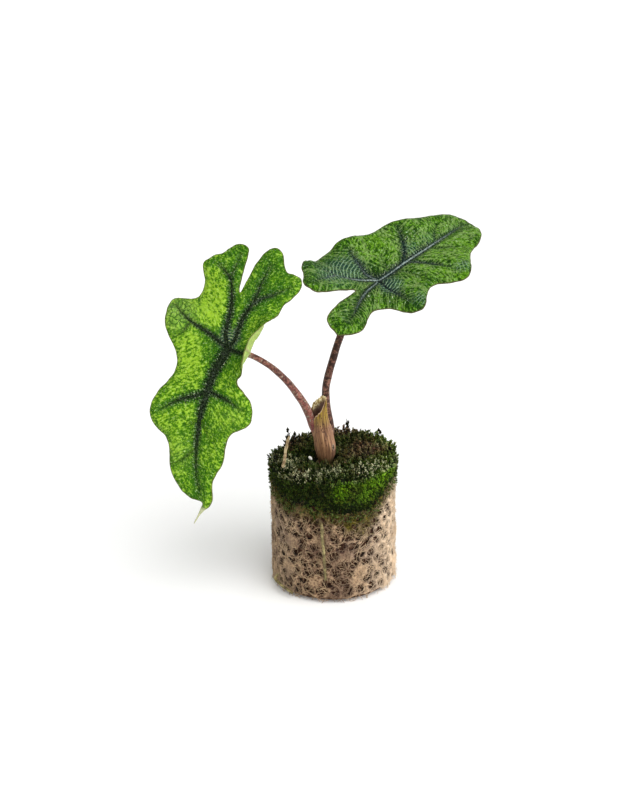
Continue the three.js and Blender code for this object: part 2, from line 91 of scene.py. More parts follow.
def addNode(tree, kind, *inputs, out="", stops=(), **settings):
    # Adds a node with its settings, then its inputs, in the order of the sockets in use or as a
    # dictionary by name. Returns the named output, or the first in use, or the node for None.
    kind, always = nodeKinds.get(kind, (kind, {}))
    node = tree.nodes.new(kind if "Node" in kind else "ShaderNode" + kind)
    for name, value in {**always, **settings}.items():
        setattr(node, name, value)
    inUse = [socket for socket in node.inputs if socket.enabled]
    for socket, value in zip(inUse, inputs):
        if isinstance(value, dict):
            for key, each in value.items():
                setSocket(tree, node.inputs[key], each)
        else:
            setSocket(tree, socket, value)
    for n, (place, colour) in enumerate(stops):  # of a colour ramp, which starts with two
        elements = node.color_ramp.elements
        if n == 0:
            elements.remove(elements[1])
        element = elements.new(place) if n else elements[0]
        element.position = place
        element.color = linear(colour)
    if out is None:
        return node
    return node.outputs[out] if out else next(socket for socket in node.outputs if socket.enabled)


def newFinish(name, **fixed):
    # A material, addNode for its tree, and a function that feeds its shader's sockets
    finish = bpy.data.materials.new(name)
    finish.use_nodes = True
    tree = finish.node_tree
    shader = tree.nodes["Principled BSDF"]

    def feed(**sockets):
        for socket, value in sockets.items():
            setSocket(tree, shader.inputs[socket.replace("_", " ")], value)

    feed(**fixed)
    return finish, partial(addNode, tree), feed


def objectMillimetres(add):
    return add("VectorMath", add("TexCoord", out="Object"), 1000.0, operation="SCALE")


def mottledFinish(name, noise, stops, strength, depth, **fixed):
    # One noise, given as its scale per mm, detail and roughness, both colours and roughens it
    finish, add, feed = newFinish(name, **fixed)
    mottle = add("noise", objectMillimetres(add), *noise)
    feed(Base_Color=add("ramp", mottle, stops=stops),
         Normal=add("Bump", {"Strength": strength, "Distance": depth / 1000, "Height": mottle}))
    return finish


def meshObject(name, points, faces, finishes=(), attributes=None, flat=False, finishOf=None):
    faces = np.asarray(faces, np.int32)
    count, corners = faces.shape
    mesh = bpy.data.meshes.new(name)
    mesh.vertices.add(len(points))
    mesh.vertices.foreach_set("co", (np.asarray(points) / 1000).astype(np.float32).ravel())
    mesh.loops.add(count * corners)
    mesh.loops.foreach_set("vertex_index", faces.ravel())
    mesh.polygons.add(count)
    mesh.polygons.foreach_set("loop_start", (np.arange(count) * corners).astype(np.int32))
    mesh.update(calc_edges=True)
    if not flat:
        mesh.shade_smooth()
    for key, values in (attributes or {}).items():
        values = np.asarray(values, np.float32)
        kind, field = ("FLOAT_VECTOR", "vector") if values.ndim == 2 else ("FLOAT", "value")
        mesh.attributes.new(key, kind, "POINT").data.foreach_set(field, values.ravel())
    for finish in finishes:
        mesh.materials.append(finish)
    if finishOf is not None:
        mesh.polygons.foreach_set("material_index", np.asarray(finishOf, np.int32))
    return bpy.data.objects.new(name, mesh)


def keepPiece(piece, slot, *replaced):
    bpy.context.scene.collection.objects.link(piece)
    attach(piece, "root")
    if replaced:
        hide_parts(*replaced)
    print("made", piece.name, len(piece.data.polygons), "faces")
    return piece


def smooth(values, low, high):
    t = np.clip((values - low) / (high - low), 0, 1)
    return t * t * (3 - 2 * t)


def unit(vectors):
    vectors = np.asarray(vectors, float)
    return vectors / np.maximum(np.linalg.norm(vectors, axis=-1, keepdims=True), 1e-9)


def hump(values, middle, width):
    # 1 at the middle, falling off softly on both sides
    return np.exp(-((values - middle) / width) ** 2)


def blobs(places, spots):
    # Soft round spots added up, each given as x, y, radius and strength
    total = np.zeros(len(places))
    for x, y, radius, strength in spots:
        total += strength * np.exp(-((places[:, 0] - x) ** 2 + (places[:, 1] - y) ** 2) / radius ** 2)
    return total


def waves(places, wavelength, seed, count=9):
    # Soft irregular relief from -1 to 1: crossing waves near one wavelength
    random = np.random.default_rng(seed)
    total = np.zeros(len(places))
    for _ in range(count):
        heading = unit(random.normal(size=places.shape[1]))
        pace = 2 * np.pi / (wavelength * random.uniform(0.7, 1.4))
        total += np.sin(places @ heading * pace + random.uniform(0, 6.28))
    return np.clip(total / math.sqrt(count) / 1.4, -1, 1)


def degreesRound(points):
    return np.degrees(np.arctan2(points[:, 1], points[:, 0]))


def polar(radius, angle, z):
    # Points for a radius, an angle and a height, each one number or a grid
    radius, angle, z = np.broadcast_arrays(radius, angle, z)
    return np.column_stack([(radius * np.cos(angle)).ravel(), (radius * np.sin(angle)).ravel(), z.ravel()])


def gridFaces(rows, columns, around=True):
    # Quads between rows of points; around joins each row's last point to its first
    row = np.arange(rows - 1)[:, None] * columns
    column = np.arange(columns if around else columns - 1)
    a, b = (row + column).ravel(), (row + (column + 1) % columns).ravel()
    return np.column_stack([a, b, b + columns, a + columns])


def halved(quads):
    # Each quad as two triangles
    return np.vstack([quads[:, [0, 1, 2]], quads[:, [0, 2, 3]]])


def closedRings(count, sides):
    # Faces between rings of points and to one more point at each end, first the start's
    k, end = np.arange(sides), count * sides
    after = (k + 1) % sides
    return np.vstack([halved(gridFaces(count, sides)), np.column_stack([np.full(sides, end), after, k]),
                      np.column_stack([np.full(sides, end + 1), k + end - sides, after + end - sides])])


def curveThrough(stops, spacing):
    # Centripetal curve through the stops, as in the CAD, with even samples
    stops = np.array(stops, float)
    line = np.vstack([2 * stops[0] - stops[1], stops, 2 * stops[-1] - stops[-2]])
    t = np.linspace(0, 1, 24, endpoint=False)[:, None]
    samples = []
    for before, start, end, after in zip(line, line[1:], line[2:], line[3:]):
        a, b, c = (np.linalg.norm(q - p) ** 0.5 for p, q in ((before, start), (start, end), (end, after)))
        leave = ((start - before) / a - (end - before) / (a + b) + (end - start) / b) * b
        arrive = ((end - start) / b - (after - start) / (b + c) + (after - end) / c) * b
        samples.append(start + leave * t + (3 * (end - start) - 2 * leave - arrive) * t ** 2
                       + (2 * (start - end) + leave + arrive) * t ** 3)
    dense = np.vstack(samples + [stops[-1:]])
    run = np.concatenate([[0], np.cumsum(np.linalg.norm(np.diff(dense, axis=0), axis=1))])
    even = np.linspace(0, run[-1], max(2, round(run[-1] / spacing)) + 1)
    return np.stack([np.interp(even, run, column) for column in dense.T], axis=1), even


def tube(points, run, radiusAt, sides):
    # Closed tube; also gives each point's place on the straightened tube
    tangents = unit(np.gradient(points, axis=0))
    side = unit(np.cross(tangents[0], (0.3, 0.1, 1)))
    angles = np.arange(sides) / sides * 2 * np.pi
    rings, places = [], []
    for i, (point, tangent) in enumerate(zip(points, tangents)):
        side = unit(side - tangent * (side @ tangent))
        other = np.cross(tangent, side)
        radius = radiusAt(run[i] / run[-1], angles) * np.ones(sides)
        ring = np.stack([radius * np.cos(angles), radius * np.sin(angles)], axis=1)
        rings.append(point + ring @ np.array([side, other]))
        places.append(np.column_stack([ring, np.full(sides, run[i])]))
    faces = closedRings(len(points), sides)
    points = np.vstack(rings + [points[:1], points[-1:]])
    places = np.vstack(places + [[[0, 0, run[0]]], [[0, 0, run[-1]]]])
    return points, faces, places


def joined(parts):
    # Several (points, faces, extras...) put together as one
    offset, faces = 0, []
    for part in parts:
        faces.append(part[1] + offset)
        offset += len(part[0])
    others = [np.concatenate([part[n] for part in parts]) for n in range(2, len(parts[0]))]
    return (np.vstack([part[0] for part in parts]), np.vstack(faces), *others)


def thickSheet(triangles, upper, under):
    # Two faces of a sheet and the walls along all its edges
    count = len(upper)
    edges = np.vstack([triangles[:, [0, 1]], triangles[:, [1, 2]], triangles[:, [2, 0]]])
    key = edges[:, 0] * count + edges[:, 1]
    back = edges[:, 1] * count + edges[:, 0]
    a, b = edges[~np.isin(key, back)].T
    walls = np.vstack([np.column_stack([b, a, a + count]), np.column_stack([b, a + count, b + count])])
    faces = np.vstack([triangles, triangles[:, ::-1] + count, walls])
    side = np.repeat([0, 1, 0], [len(triangles), len(triangles), len(walls)])
    return np.vstack([upper, under]), faces, side


def fillOutline(outline, inner, holes=()):
    # Triangles inside an outline, using the inner points, without the holes
    everything = np.vstack([outline, *holes, inner])
    loops, start = [], 0
    for loop in (outline, *holes):
        loops.append(list(range(start, start + len(loop))))
        start += len(loop)
    edges = [(loop[k], loop[(k + 1) % len(loop)]) for loop in loops for k in range(len(loop))]
    found = geometry.delaunay_2d_cdt([Vector(p) for p in everything], edges, [], 1, 1e-5, False)
    places = np.array([tuple(p) for p in found[0]])
    triangles = np.array(found[2], np.int64)
    centres = places[triangles].mean(axis=1)
    keep = insideLoop(centres, outline)
    for hole in holes:
        near = keep & (np.abs(centres - hole.mean(axis=0)).max(axis=1) < np.ptp(hole, axis=0).max())
        keep[np.flatnonzero(near)[insideLoop(centres[near], hole)]] = False
    triangles = triangles[keep]
    p, q, r = (places[triangles[:, n]] for n in range(3))
    turned = (q - p)[:, 0] * (r - p)[:, 1] - (q - p)[:, 1] * (r - p)[:, 0] < 0
    triangles[turned] = triangles[turned][:, ::-1]
    used = np.unique(triangles)
    renumber = np.zeros(len(places), np.int64)
    renumber[used] = np.arange(len(used))
    return places[used], renumber[triangles]


def insideLoop(places, loop):
    # Which places lie inside a closed loop: an odd count of its edges lies to their right
    (ax, ay), (bx, by) = loop.T, np.roll(loop, -1, axis=0).T
    slope = (bx - ax) / np.where(by == ay, 1e-9, by - ay)
    inside = []
    for part in np.array_split(places, len(places) // 4000 + 1):
        x, y = part[:, :1], part[:, 1:2]
        crossed = ((ay > y) != (by > y)) & (x < slope * (y - ay) + ax)
        inside.append(crossed.sum(axis=1) % 2 == 1)
    return np.concatenate(inside)


def nearestOn(places, line):
    # Distance to the nearest point of a finely sampled line, and which one it is
    tree = kdtree.KDTree(len(line))
    for n, (x, y) in enumerate(line):
        tree.insert((x, y, 0), n)
    tree.balance()
    found = [tree.find((x, y, 0)) for x, y in places.tolist()]
    return np.array([hit[2] for hit in found]), np.array([hit[1] for hit in found], int)


# Scattering small shapes over a surface, with one Geometry Nodes tree for all of them.
# A carrier's points hold cover, how much grows there, and growth, the way it points.
def scatterTree():
    tree = bpy.data.node_groups.new("scatterOverSurface", "GeometryNodeTree")
    tree.interface.new_socket("Surface", in_out="INPUT", socket_type="NodeSocketGeometry")
    for name, kind in (("Spacing", "Float"), ("Per square metre", "Float"), ("Smallest", "Float"),
                       ("Largest", "Float"), ("Lean", "Float"), ("Seed", "Int"), ("Cover", "String"),
                       ("Shapes", "Collection"), ("Finish", "Material")):
        tree.interface.new_socket(name, in_out="INPUT", socket_type="NodeSocket" + kind)
    tree.interface.new_socket("Scattered", in_out="OUTPUT", socket_type="NodeSocketGeometry")
    given = addNode(tree, "NodeGroupInput", out=None).outputs
    cover = addNode(tree, "GeometryNodeInputNamedAttribute", {"Name": given["Cover"]}, data_type="FLOAT")
    growth = addNode(tree, "GeometryNodeInputNamedAttribute", {"Name": "growth"}, data_type="FLOAT_VECTOR")
    points = addNode(tree, "GeometryNodeDistributePointsOnFaces", {
        "Mesh": given["Surface"], "Distance Min": given["Spacing"],
        "Density Max": given["Per square metre"], "Density Factor": cover, "Seed": given["Seed"],
    }, distribute_method="POISSON")
    chance = addNode(tree, "FunctionNodeRandomValue", {"Seed": given["Seed"]}, data_type="FLOAT")
    points = addNode(tree, "GeometryNodeStoreNamedAttribute", {
        "Geometry": points, "Name": "chance", "Value": chance}, data_type="FLOAT", domain="POINT")
    spin, lean, size = (
        addNode(tree, "FunctionNodeRandomValue", low, high, {"Seed": seed}, data_type="FLOAT")
        for low, high, seed in ((0.0, 2 * math.pi, 5), (0.0, given["Lean"], 6),
                                (given["Smallest"], given["Largest"], 7)))
    which = addNode(tree, "FunctionNodeRandomValue", 0, 1000, {"Seed": 8}, data_type="INT")
    upright = addNode(tree, "FunctionNodeAlignRotationToVector", {"Vector": growth}, axis="Z")
    for part in ({"Z": spin}, {"X": lean}):
        part = addNode(tree, "FunctionNodeEulerToRotation", addNode(tree, "CombineXYZ", part))
        upright = addNode(tree, "FunctionNodeRotateRotation", upright, part, rotation_space="LOCAL")
    shapes = addNode(tree, "GeometryNodeCollectionInfo", {
        "Collection": given["Shapes"], "Separate Children": True, "Reset Children": True})
    placed = addNode(tree, "GeometryNodeInstanceOnPoints", {
        "Points": points, "Instance": shapes, "Pick Instance": True, "Instance Index": which,
        "Rotation": upright, "Scale": size})
    real = addNode(tree, "GeometryNodeRealizeInstances", {"Geometry": placed})
    finished = addNode(tree, "GeometryNodeSetMaterial", {"Geometry": real, "Material": given["Finish"]})
    addNode(tree, "NodeGroupOutput", {"Scattered": finished}, out=None)
    return tree


scatterOverSurface = scatterTree()


def scatter(name, carrier, shapes, finish, values, cover="cover"):
    # Runs the tree on a new object with the carrier's mesh and keeps the result as a plain mesh
    holder = bpy.data.objects.new("holder", carrier.data)
    bpy.context.scene.collection.objects.link(holder)
    modifier = holder.modifiers.new("scatter", "NODES")
    modifier.node_group = scatterOverSurface
    given = {"Spacing": values["spacing"] / 1000, "Per square metre": 4e6 / values["spacing"] ** 2,
             "Smallest": values["smallest"], "Largest": values["largest"], "Lean": values["lean"],
             "Seed": values["seed"], "Cover": cover, "Shapes": shapes, "Finish": finish}
    for socket in scatterOverSurface.interface.items_tree:
        if socket.in_out == "INPUT" and socket.name in given:
            modifier[socket.identifier] = given[socket.name]
    graph = bpy.context.evaluated_depsgraph_get()
    mesh = bpy.data.meshes.new_from_object(
        holder.evaluated_get(graph), preserve_all_data_layers=True, depsgraph=graph)
    mesh.name = name
    holder.modifiers.remove(modifier)
    bpy.data.objects.remove(holder)
    return bpy.data.objects.new(name, mesh)


def shapeSet(name, shapes):
    # A collection of small shapes to scatter, each as (points, faces, attributes)
    collection = bpy.data.collections.new(name)
    for n, (points, faces, attributes) in enumerate(shapes):
        collection.objects.link(meshObject(f"{name}{n}", points, faces, (), attributes, flat=True))
    return collection


def clearShapes(collection):
    for shape in list(collection.objects):
        bpy.data.objects.remove(shape)
    bpy.data.collections.remove(collection)


# Camera and lights
viewpoint = {"place": (-3.187, -557.623, 290.117), "down": 23.0, "roll": 1.0, "lens": 100.0,
             "sensor": 36.0}


def makeCamera():
    camera = bpy.data.objects.new("camera", bpy.data.cameras.new("camera"))
    camera.data.lens = viewpoint["lens"]
    camera.data.sensor_width = viewpoint["sensor"]
    camera.data.clip_start = 0.01
    turn = Matrix.Rotation(math.radians(90 - viewpoint["down"]), 4, "X")
    roll = Matrix.Rotation(math.radians(-viewpoint["roll"]), 4, "Z")
    camera.matrix_world = Matrix.Translation(Vector(viewpoint["place"]) / 1000) @ turn @ roll
    bpy.context.scene.collection.objects.link(camera)
    bpy.context.scene.camera = camera


studio = {
    "sky": 0.66,
    "lamps": {
        "softKey": {"from": (0.5, -0.62, 0.85), "spread": 62.0, "strength": 2.0},
        "sideFill": {"from": (1.0, -0.3, 0.22), "spread": 70.0, "strength": 1.25},
    },
    "floor": "#fdfdfc",
    "floorEdge": 6000,
}


def makeStudio():
    world = bpy.data.worlds.new("studio")
    world.use_nodes = True
    world.node_tree.nodes["Background"].inputs["Color"].default_value = (1, 1, 1, 1)
    world.node_tree.nodes["Background"].inputs["Strength"].default_value = studio["sky"]
    bpy.context.scene.world = world
    bpy.context.scene.view_settings.view_transform = "Standard"
    for name, lamp in studio["lamps"].items():
        light = bpy.data.lights.new(name, "SUN")
        light.energy = lamp["strength"]
        light.angle = math.radians(lamp["spread"])
        placed = bpy.data.objects.new(name, light)
        placed.rotation_euler = Vector(lamp["from"]).to_track_quat("Z", "Y").to_euler()
        bpy.context.scene.collection.objects.link(placed)
    # Matt white paper sweep: even and nearly without sheen
    paper, add, feed = newFinish("mattPaper", Roughness=0.9)
    tooth = add("noise", objectMillimetres(add), 0.02, 2.0)
    feed(Base_Color=add("blend", tooth, studio["floor"], "#ffffff"))
    edge = studio["floorEdge"]
    corners = [(-edge, -edge, 0), (edge, -edge, 0), (edge, edge, 0), (-edge, edge, 0)]
    floor = meshObject("floor", corners, [(0, 1, 2, 3)], (paper,))
    bpy.context.scene.collection.objects.link(floor)


makeCamera()
makeStudio()
print("camera and studio made")


# Leaf blades, on the same bent surface as the CAD ones. along runs down the midrib from
# where the stalk joins, across to its left. Veins are lines of (along, across), with their
# half width at the start and the end, and how hatched and how silvery they are.
bladeMake = {
    "pointSpacing": 0.23,
    "fold": 10,  # of each half up from the midrib, in degrees
    "cup": -0.015,
    "hinge": 2,
    "thickness": 0.42,
    "marginThickness": 0.24,
    "swell": 0.5,  # of the leaf between its main veins
    "pillow": 0.13,  # between the side veins
    "ribDepth": 0.55,
    "ridgeGap": 0.85,  # of the hatching square to the main veins
}

leftBlade = {
    "seat": (-27, -16, 75.3),
    "forward": (-0.39, -0.41, -0.82),
    "face": (-0.2, -0.84, 0.51),
    "droop": -0.008,
    "rearLift": (0, 0),
    "bend": (0.008, 12),
    "roll": {"curvature": 0.24, "centre": -2.2, "halfLength": 10, "hinge": 3.4},
    "wave": {"height": 0.8, "start": -5, "length": 20},
    "margin": [
        (-14.9, -2.8), (-16.2, -2.5), (-17.7, -2.4), (-19.5, -2.2), (-21.4, -2), (-23.4, -1.8),
        (-25.3, -1.2), (-27.1, -0.6), (-28.6, 0.5), (-29.3, 2.2), (-28.7, 3.8), (-27.3, 4.8), (-25.6, 5.7),
        (-24.3, 7.2), (-24.3, 9.2), (-23.9, 11.1), (-22.4, 12.1), (-20.7, 12.1), (-18.9, 11.4),
        (-17.3, 10.5), (-15.6, 9.5), (-13.9, 9.2), (-12.2, 9.6), (-10.6, 10.6), (-9, 11.7), (-7.4, 12.5),
        (-5.7, 12.9), (-3.9, 12.8), (-2, 12.2), (-0.2, 11.7), (1.5, 11.3), (3.1, 10.9), (4.5, 9.5),
        (5.6, 7.8), (6.8, 6.5), (8.1, 6.9), (9.4, 8.9), (10.8, 11.1), (12.4, 12.3), (14, 13.1), (15.9, 13.5),
        (17.6, 12.7), (19, 11.2), (20.3, 9.7), (22.2, 9.2), (24.2, 9.3), (26.1, 9.6), (28.1, 9.8),
        (30, 9.6), (31.9, 9.1), (33.9, 8.8), (36.1, 9.3), (38.6, 10.2), (40.5, 10), (42.3, 8.8),
        (44.3, 7.8), (46.9, 7), (44.8, 7.2), (42.5, 7.5), (40.6, 7.6), (40.5, 5.8), (40.5, 4.1),
        (39.6, 1.8), (38.5, 0.1), (37.2, -1.4), (35.8, -2.8), (34.1, -3.9), (32.3, -4.7), (30.4, -5.4),
        (28.7, -6.3), (27.3, -7.6), (26.5, -9.5), (25.6, -11.3), (24.2, -12.7), (22.4, -13.5),
        (20.4, -13.7), (18.4, -13.5), (16.4, -13.1), (14.5, -12.4), (12.7, -11.7), (10.7, -11.3),
        (8.7, -11.4), (6.9, -12), (5.3, -13), (3.9, -14.4), (2.5, -15.9), (1, -17.2), (-0.7, -18.2),
        (-2.6, -19.1), (-4.7, -20.2), (-6.9, -20.7), (-8.1, -19.1), (-8.6, -17), (-9.1, -15.1),
        (-10.1, -13.7), (-11.6, -13.1), (-13.3, -13.1), (-15.1, -13.5), (-16.8, -14.6), (-18.8, -15.3),
        (-20.6, -14.3), (-22.1, -12.9), (-23.2, -11.3), (-24.9, -10.3), (-26.4, -9), (-27.2, -7.2),
        (-26.7, -5.3), (-25, -4.6), (-23.1, -4.3), (-21.1, -4.2), (-19.2, -3.9), (-17.3, -3.6),
        (-15.7, -3.3),
    ],
    "veins": [
        ([(0, 0), (2.7, -0.3), (6, -1), (8.8, -1.2), (12.7, -1), (16.2, -0.8), (19.5, -0.5), (22.8, 0.3),
          (26.1, 1), (29, 1.8), (32, 2.8), (35, 4), (38, 6)], 1.1, 0.1, 1.0, 0.2),
        ([(0, 0), (-0.9, -3), (-1.8, -6), (-2.3, -8.7), (-3, -12), (-3.9, -14.7), (-5.3, -17.6), (-6, -19.2)],
         0.42, 0.1, 0.35, 0.1),
        ([(0, 0), (0.1, 2.8), (-0.4, 6), (-0.8, 10), (-1.2, 13.8)], 0.36, 0.1, 0.2, 0.0),
        ([(0, 0), (-2.9, -1.9), (-6, -2.7), (-9.5, -3.3), (-12.8, -4.3), (-16, -5.7), (-17.8, -6.7),
          (-20.6, -6.6), (-24, -6.5)], 0.62, 0.06, 1.0, 0.1),
        ([(-17.2, -6.3), (-18.5, -8.2), (-19.3, -10), (-20.2, -12.2)], 0.24, 0.05, 0.6, 0.0),
        ([(0, 0), (-3, 0.8), (-6.2, 0.6), (-9.4, 0.7), (-13.2, 1.6), (-15.7, 1.8), (-18.7, 1.7),
          (-21.6, 1.9), (-24.5, 2.2)], 0.55, 0.06, 0.9, 0.1),
        ([(-13.2, 1.6), (-15.5, 3.5), (-17.1, 5.7), (-19.3, 7.9), (-20.7, 9.6)], 0.26, 0.05, 0.6, 0.4),
        ([(12.2, -1), (14, -2.7), (15.8, -5.4), (17.5, -7.7), (19.3, -9.3), (21.1, -11)],
         0.4, 0.08, 1.0, 0.0),
        ([(12.4, -1), (12.5, 2.2), (12.8, 5.3), (13.3, 7.7), (14, 10.3)], 0.32, 0.05, 0.5, 0.0),
        ([(27.6, 1.3), (30.5, -0.5), (32.7, -2.4), (33.6, -3.7)], 0.12, 0.04, 0.0, 0.0),
        ([(18.4, -0.5), (21.4, -1.7), (22.6, -3.6)], 0.1, 0.03, 0.0, 0.0),
        ([(20, 0), (22.5, 2.6), (24.5, 4.4)], 0.07, 0.03, 0.0, 0.0),
        ([(-3, -12), (-0.7, -12.4), (1.4, -13.3), (2.4, -15)], 0.12, 0.05, 0.0, 0.0),
    ],
    "sideVeinGap": 2.1,
    # Places with their radius: deeper green (1) or brighter (-1)
    "zones": [(-25, -6, 5.5, 0.5), (-20, 5, 8, 0.36), (-26, 3, 5, 0.35), (2.5, -4.5, 3.4, 0.9),
              (-8, -8, 6.5, -0.85), (7, -8, 5, -0.9), (15, -11, 4.5, 0.15), (20, -5, 5, -0.35),
              (3, 4, 4, 0.45), (38, 5, 5, 0.4), (30, 6, 5, 0.1), (-15, -9, 4, -0.5), (14, 9, 4, -0.2),
              (-15, 1, 6, 0.4), (31, -2, 4, -0.2), (1, -12, 4, -0.3)],
    "netting": [(-3.8, -15.8, 4.6, 1.2), (30, -2, 5, 0.4), (17, 8, 4, 0.35)],
    "dusky": [(-2.5, -0.5, 3.2, 0.8)],
}

rightBlade = {
    "seat": (13.3, 6, 85.4),
    "forward": (0.73, 0.63, 0.26),
    "face": (0.05, -0.43, 0.9),
    "droop": -0.006,
    "rearLift": (20, 6),
    "bend": (0.0017, 0),
    "roll": {"curvature": 0, "centre": 0, "halfLength": 10, "hinge": 2},
    "wave": {"height": 0.8, "start": -2, "length": 18},
    "margin": [
        (-9.2, 0.3), (-10.6, 1), (-12.8, 1.6), (-14.7, 2.1), (-16.6, 2.4), (-18.6, 2.8), (-20.5, 3.3),
        (-22, 4.2), (-22.4, 5.8), (-22.3, 7.3), (-21.4, 8.8), (-19.8, 10.2), (-18.5, 11.8), (-17.2, 13.7),
        (-14.8, 15.4), (-11.5, 16.6), (-8, 17.2), (-5, 17.1), (-2.4, 16.7), (-0.4, 16.6), (1.5, 16.4),
        (3.3, 15.9), (5.4, 15.6), (7.5, 15.4), (9.4, 15), (11.3, 14.7), (13.2, 14.4), (15.2, 14.1),
        (17.1, 13.6), (19, 12.9), (20.8, 12.3), (22.8, 11.8), (24.7, 11.3), (26.7, 10.9), (28.7, 10.4),
        (30.6, 9.7), (32.4, 8.9), (34.2, 8), (35.8, 6.8), (37, 5.2), (38.2, 3.6), (38.4, 1.7),
        (38.1, -0.3), (37.8, -2.1), (36.6, -3.8), (35, -5.2), (33.2, -6.2), (31.4, -7), (29.5, -7.4),
        (27.6, -8.2), (25.9, -9.5), (24.4, -10.8), (22.9, -12.2), (21.6, -13.6), (20.1, -14.8),
        (18.4, -15.7), (16.6, -15.5), (15, -14.3), (13.4, -13.2), (11.8, -12.1), (10.1, -11.5),
        (8.2, -11.6), (6.3, -12.4), (4.6, -13.6), (3, -14.8), (1.5, -16.1), (-0.3, -16.6), (-1.7, -15.6),
        (-2.9, -14.1), (-3.7, -12.4), (-4.5, -10.6), (-5.7, -9), (-7.4, -8), (-9.4, -7.5), (-11.5, -8.1),
        (-13.3, -9.1), (-15, -10.2), (-16.9, -11.1), (-18.7, -11.1), (-20.4, -10.3), (-22.1, -9.3),
        (-23.6, -8.2), (-23.4, -6.3), (-23.4, -4.4), (-22.6, -2.8), (-20.8, -1.9), (-18.7, -1.4),
        (-16.8, -0.9), (-14.8, -0.6), (-12.9, -0.4), (-10.8, -0.1),
    ],
    "veins": [
        ([(0, 0), (3.8, 0), (8.6, 0.3), (13.8, 0.6), (19.5, 0.9), (24.8, 1.3), (30.6, 1.9), (35, 2.3),
          (37.6, 2.2)], 0.85, 0.14, 0.8, 1.0),
        ([(0, 0), (-2.1, 1.6), (-5.5, 2.8), (-8, 4.7), (-10.2, 6.9), (-11, 9.2), (-12.4, 11.4)],
         0.45, 0.05, 0.5, 0.7),
        ([(-10.2, 6.9), (-14.5, 6.9), (-18.4, 7.2)], 0.2, 0.05, 0.5, 0.4),
        ([(0, 0), (-1, 1.8), (-1.5, 3.7), (-0.9, 6.4), (-0.2, 9.6), (0.8, 13.2)], 0.6, 0.1, 0.8, 0.4),
        ([(0, 0), (-3.8, -0.8), (-8, -2), (-11.6, -3.6), (-15, -5.4), (-18.5, -6.6)], 0.4, 0.05, 0.3, 0.5),
        ([(9.5, 0.4), (12.3, 2.7), (14.6, 5.4), (16.3, 8.2), (17.6, 11)], 0.42, 0.08, 0.5, 0.0),
        ([(0, 0), (-0.6, -2.7), (-0.8, -5.6), (-0.6, -8.8), (-0.5, -12)], 0.45, 0.05, 0.5, 0.1),
        ([(10.8, 0.5), (12.9, -1.9), (14.9, -4.8), (16.9, -8), (18, -11.2), (18, -13)], 0.24, 0.05, 0.4, 0.2),
        ([(19.5, 0.9), (22, -1.4), (26, -4), (29, -5.6)], 0.1, 0.04, 0.0, 0.0),
        ([(22.8, 1.2), (25.4, 3.9), (28.6, 6.4)], 0.12, 0.04, 0.0, 0.0),
        ([(6, 0.2), (8, -3.4), (9, -7)], 0.1, 0.04, 0.0, 0.0),
        ([(4, 0.1), (5.4, 3.4), (6.4, 7)], 0.08, 0.04, 0.0, 0.0),
    ],
    "sideVeinGap": 1.0,
    "zones": [(0, 0, 6, 0.8), (-6, 8, 6, 0.8), (-2, -8, 3.5, 0.7), (-11, 13, 4, 0.5), (-15, -4, 4, 0.35),
              (8, 10.5, 5.5, -0.5), (8, -7.5, 4.5, 0.15), (12, -7, 5, -0.15), (26, 8, 7, -0.2),
              (26, -4, 6, -0.5), (17.5, 7, 3.2, 0.9), (-19, 8, 5, 0.35), (33, 0, 4, 0.1), (3, -12, 4, 0.15),
              (18, -12, 4, -0.6), (-10, -3, 4, 0.5)],
    "netting": [(-6, 8, 6, 1.0), (-14, 7, 6, 0.8), (28, 4, 9, 0.5), (-16, -5, 6, 0.5)],
    "dusky": [(-5, 8, 5.5, 0.9), (0.5, -4, 3.4, 1.0), (15, 3, 3.4, 0.55), (22, 3.5, 3, 0.4),
              (20, -12, 3, 0.6), (2, -14, 3, 0.6), (-13, 7, 4.5, 0.6)],
}


def bladeAxes(blade):
    forward = unit(blade["forward"])
    up = np.array(blade["face"], float)
    up = unit(up - forward * (up @ forward))
    return np.array(blade["seat"], float), forward, up, np.cross(up, forward)


def bladeSurface(blade, flat):
    # The bent blade's point for each place on the flattened one
    seat, forward, up, left = bladeAxes(blade)
    along, across = flat[:, 0], flat[:, 1]
    side = smooth(across, -6, 6)
    lift = np.radians(blade["rearLift"][1] * (1 - side) + blade["rearLift"][0] * side) * smooth(-along, 0, 6)
    start = np.where(along < 0, -lift, 0)
    curvature = np.where(along < 0, 1e-5, blade["droop"])
    angle = start + curvature * along
    reach = (np.sin(angle) - np.sin(start)) / curvature
    rise = -(np.cos(angle) - np.cos(start)) / curvature
    bend, bendFrom = blade["bend"]
    rib = bend * np.maximum(along - bendFrom, 0) ** 2
    sign = np.where(across < rib, -1.0, 1.0)
    distance = np.abs(across - rib)
    roll, wave = blade["roll"], blade["wave"]
    rolled = np.where(sign < 0, 0, np.exp(-((along - roll["centre"]) / roll["halfLength"]) ** 8))
    fold = np.radians(bladeMake["fold"]) * smooth(along, -8, 0)
    cup = roll["curvature"] * rolled + bladeMake["cup"]
    cup = np.where(np.abs(cup) < 1e-4, 1e-4, cup)
    plain = bladeMake["hinge"]
    hinge = plain + (roll["hinge"] - plain) * rolled
    level = np.minimum(distance, hinge)
    bent = fold + cup * np.maximum(distance - hinge, 0)
    out = level * np.cos(fold) + (np.sin(bent) - np.sin(fold)) / cup
    height = level * np.sin(fold) - (np.cos(bent) - np.cos(fold)) / cup
    height += (wave["height"] * np.minimum(distance / 12, 1.5) ** 2
               * np.sin(2 * np.pi * (along - wave["start"]) / wave["length"]))
    return (seat + np.outer(reach - np.sin(angle) * height, forward)
            + np.outer(rise + np.cos(angle) * height, up) + np.outer(rib + sign * out, left))


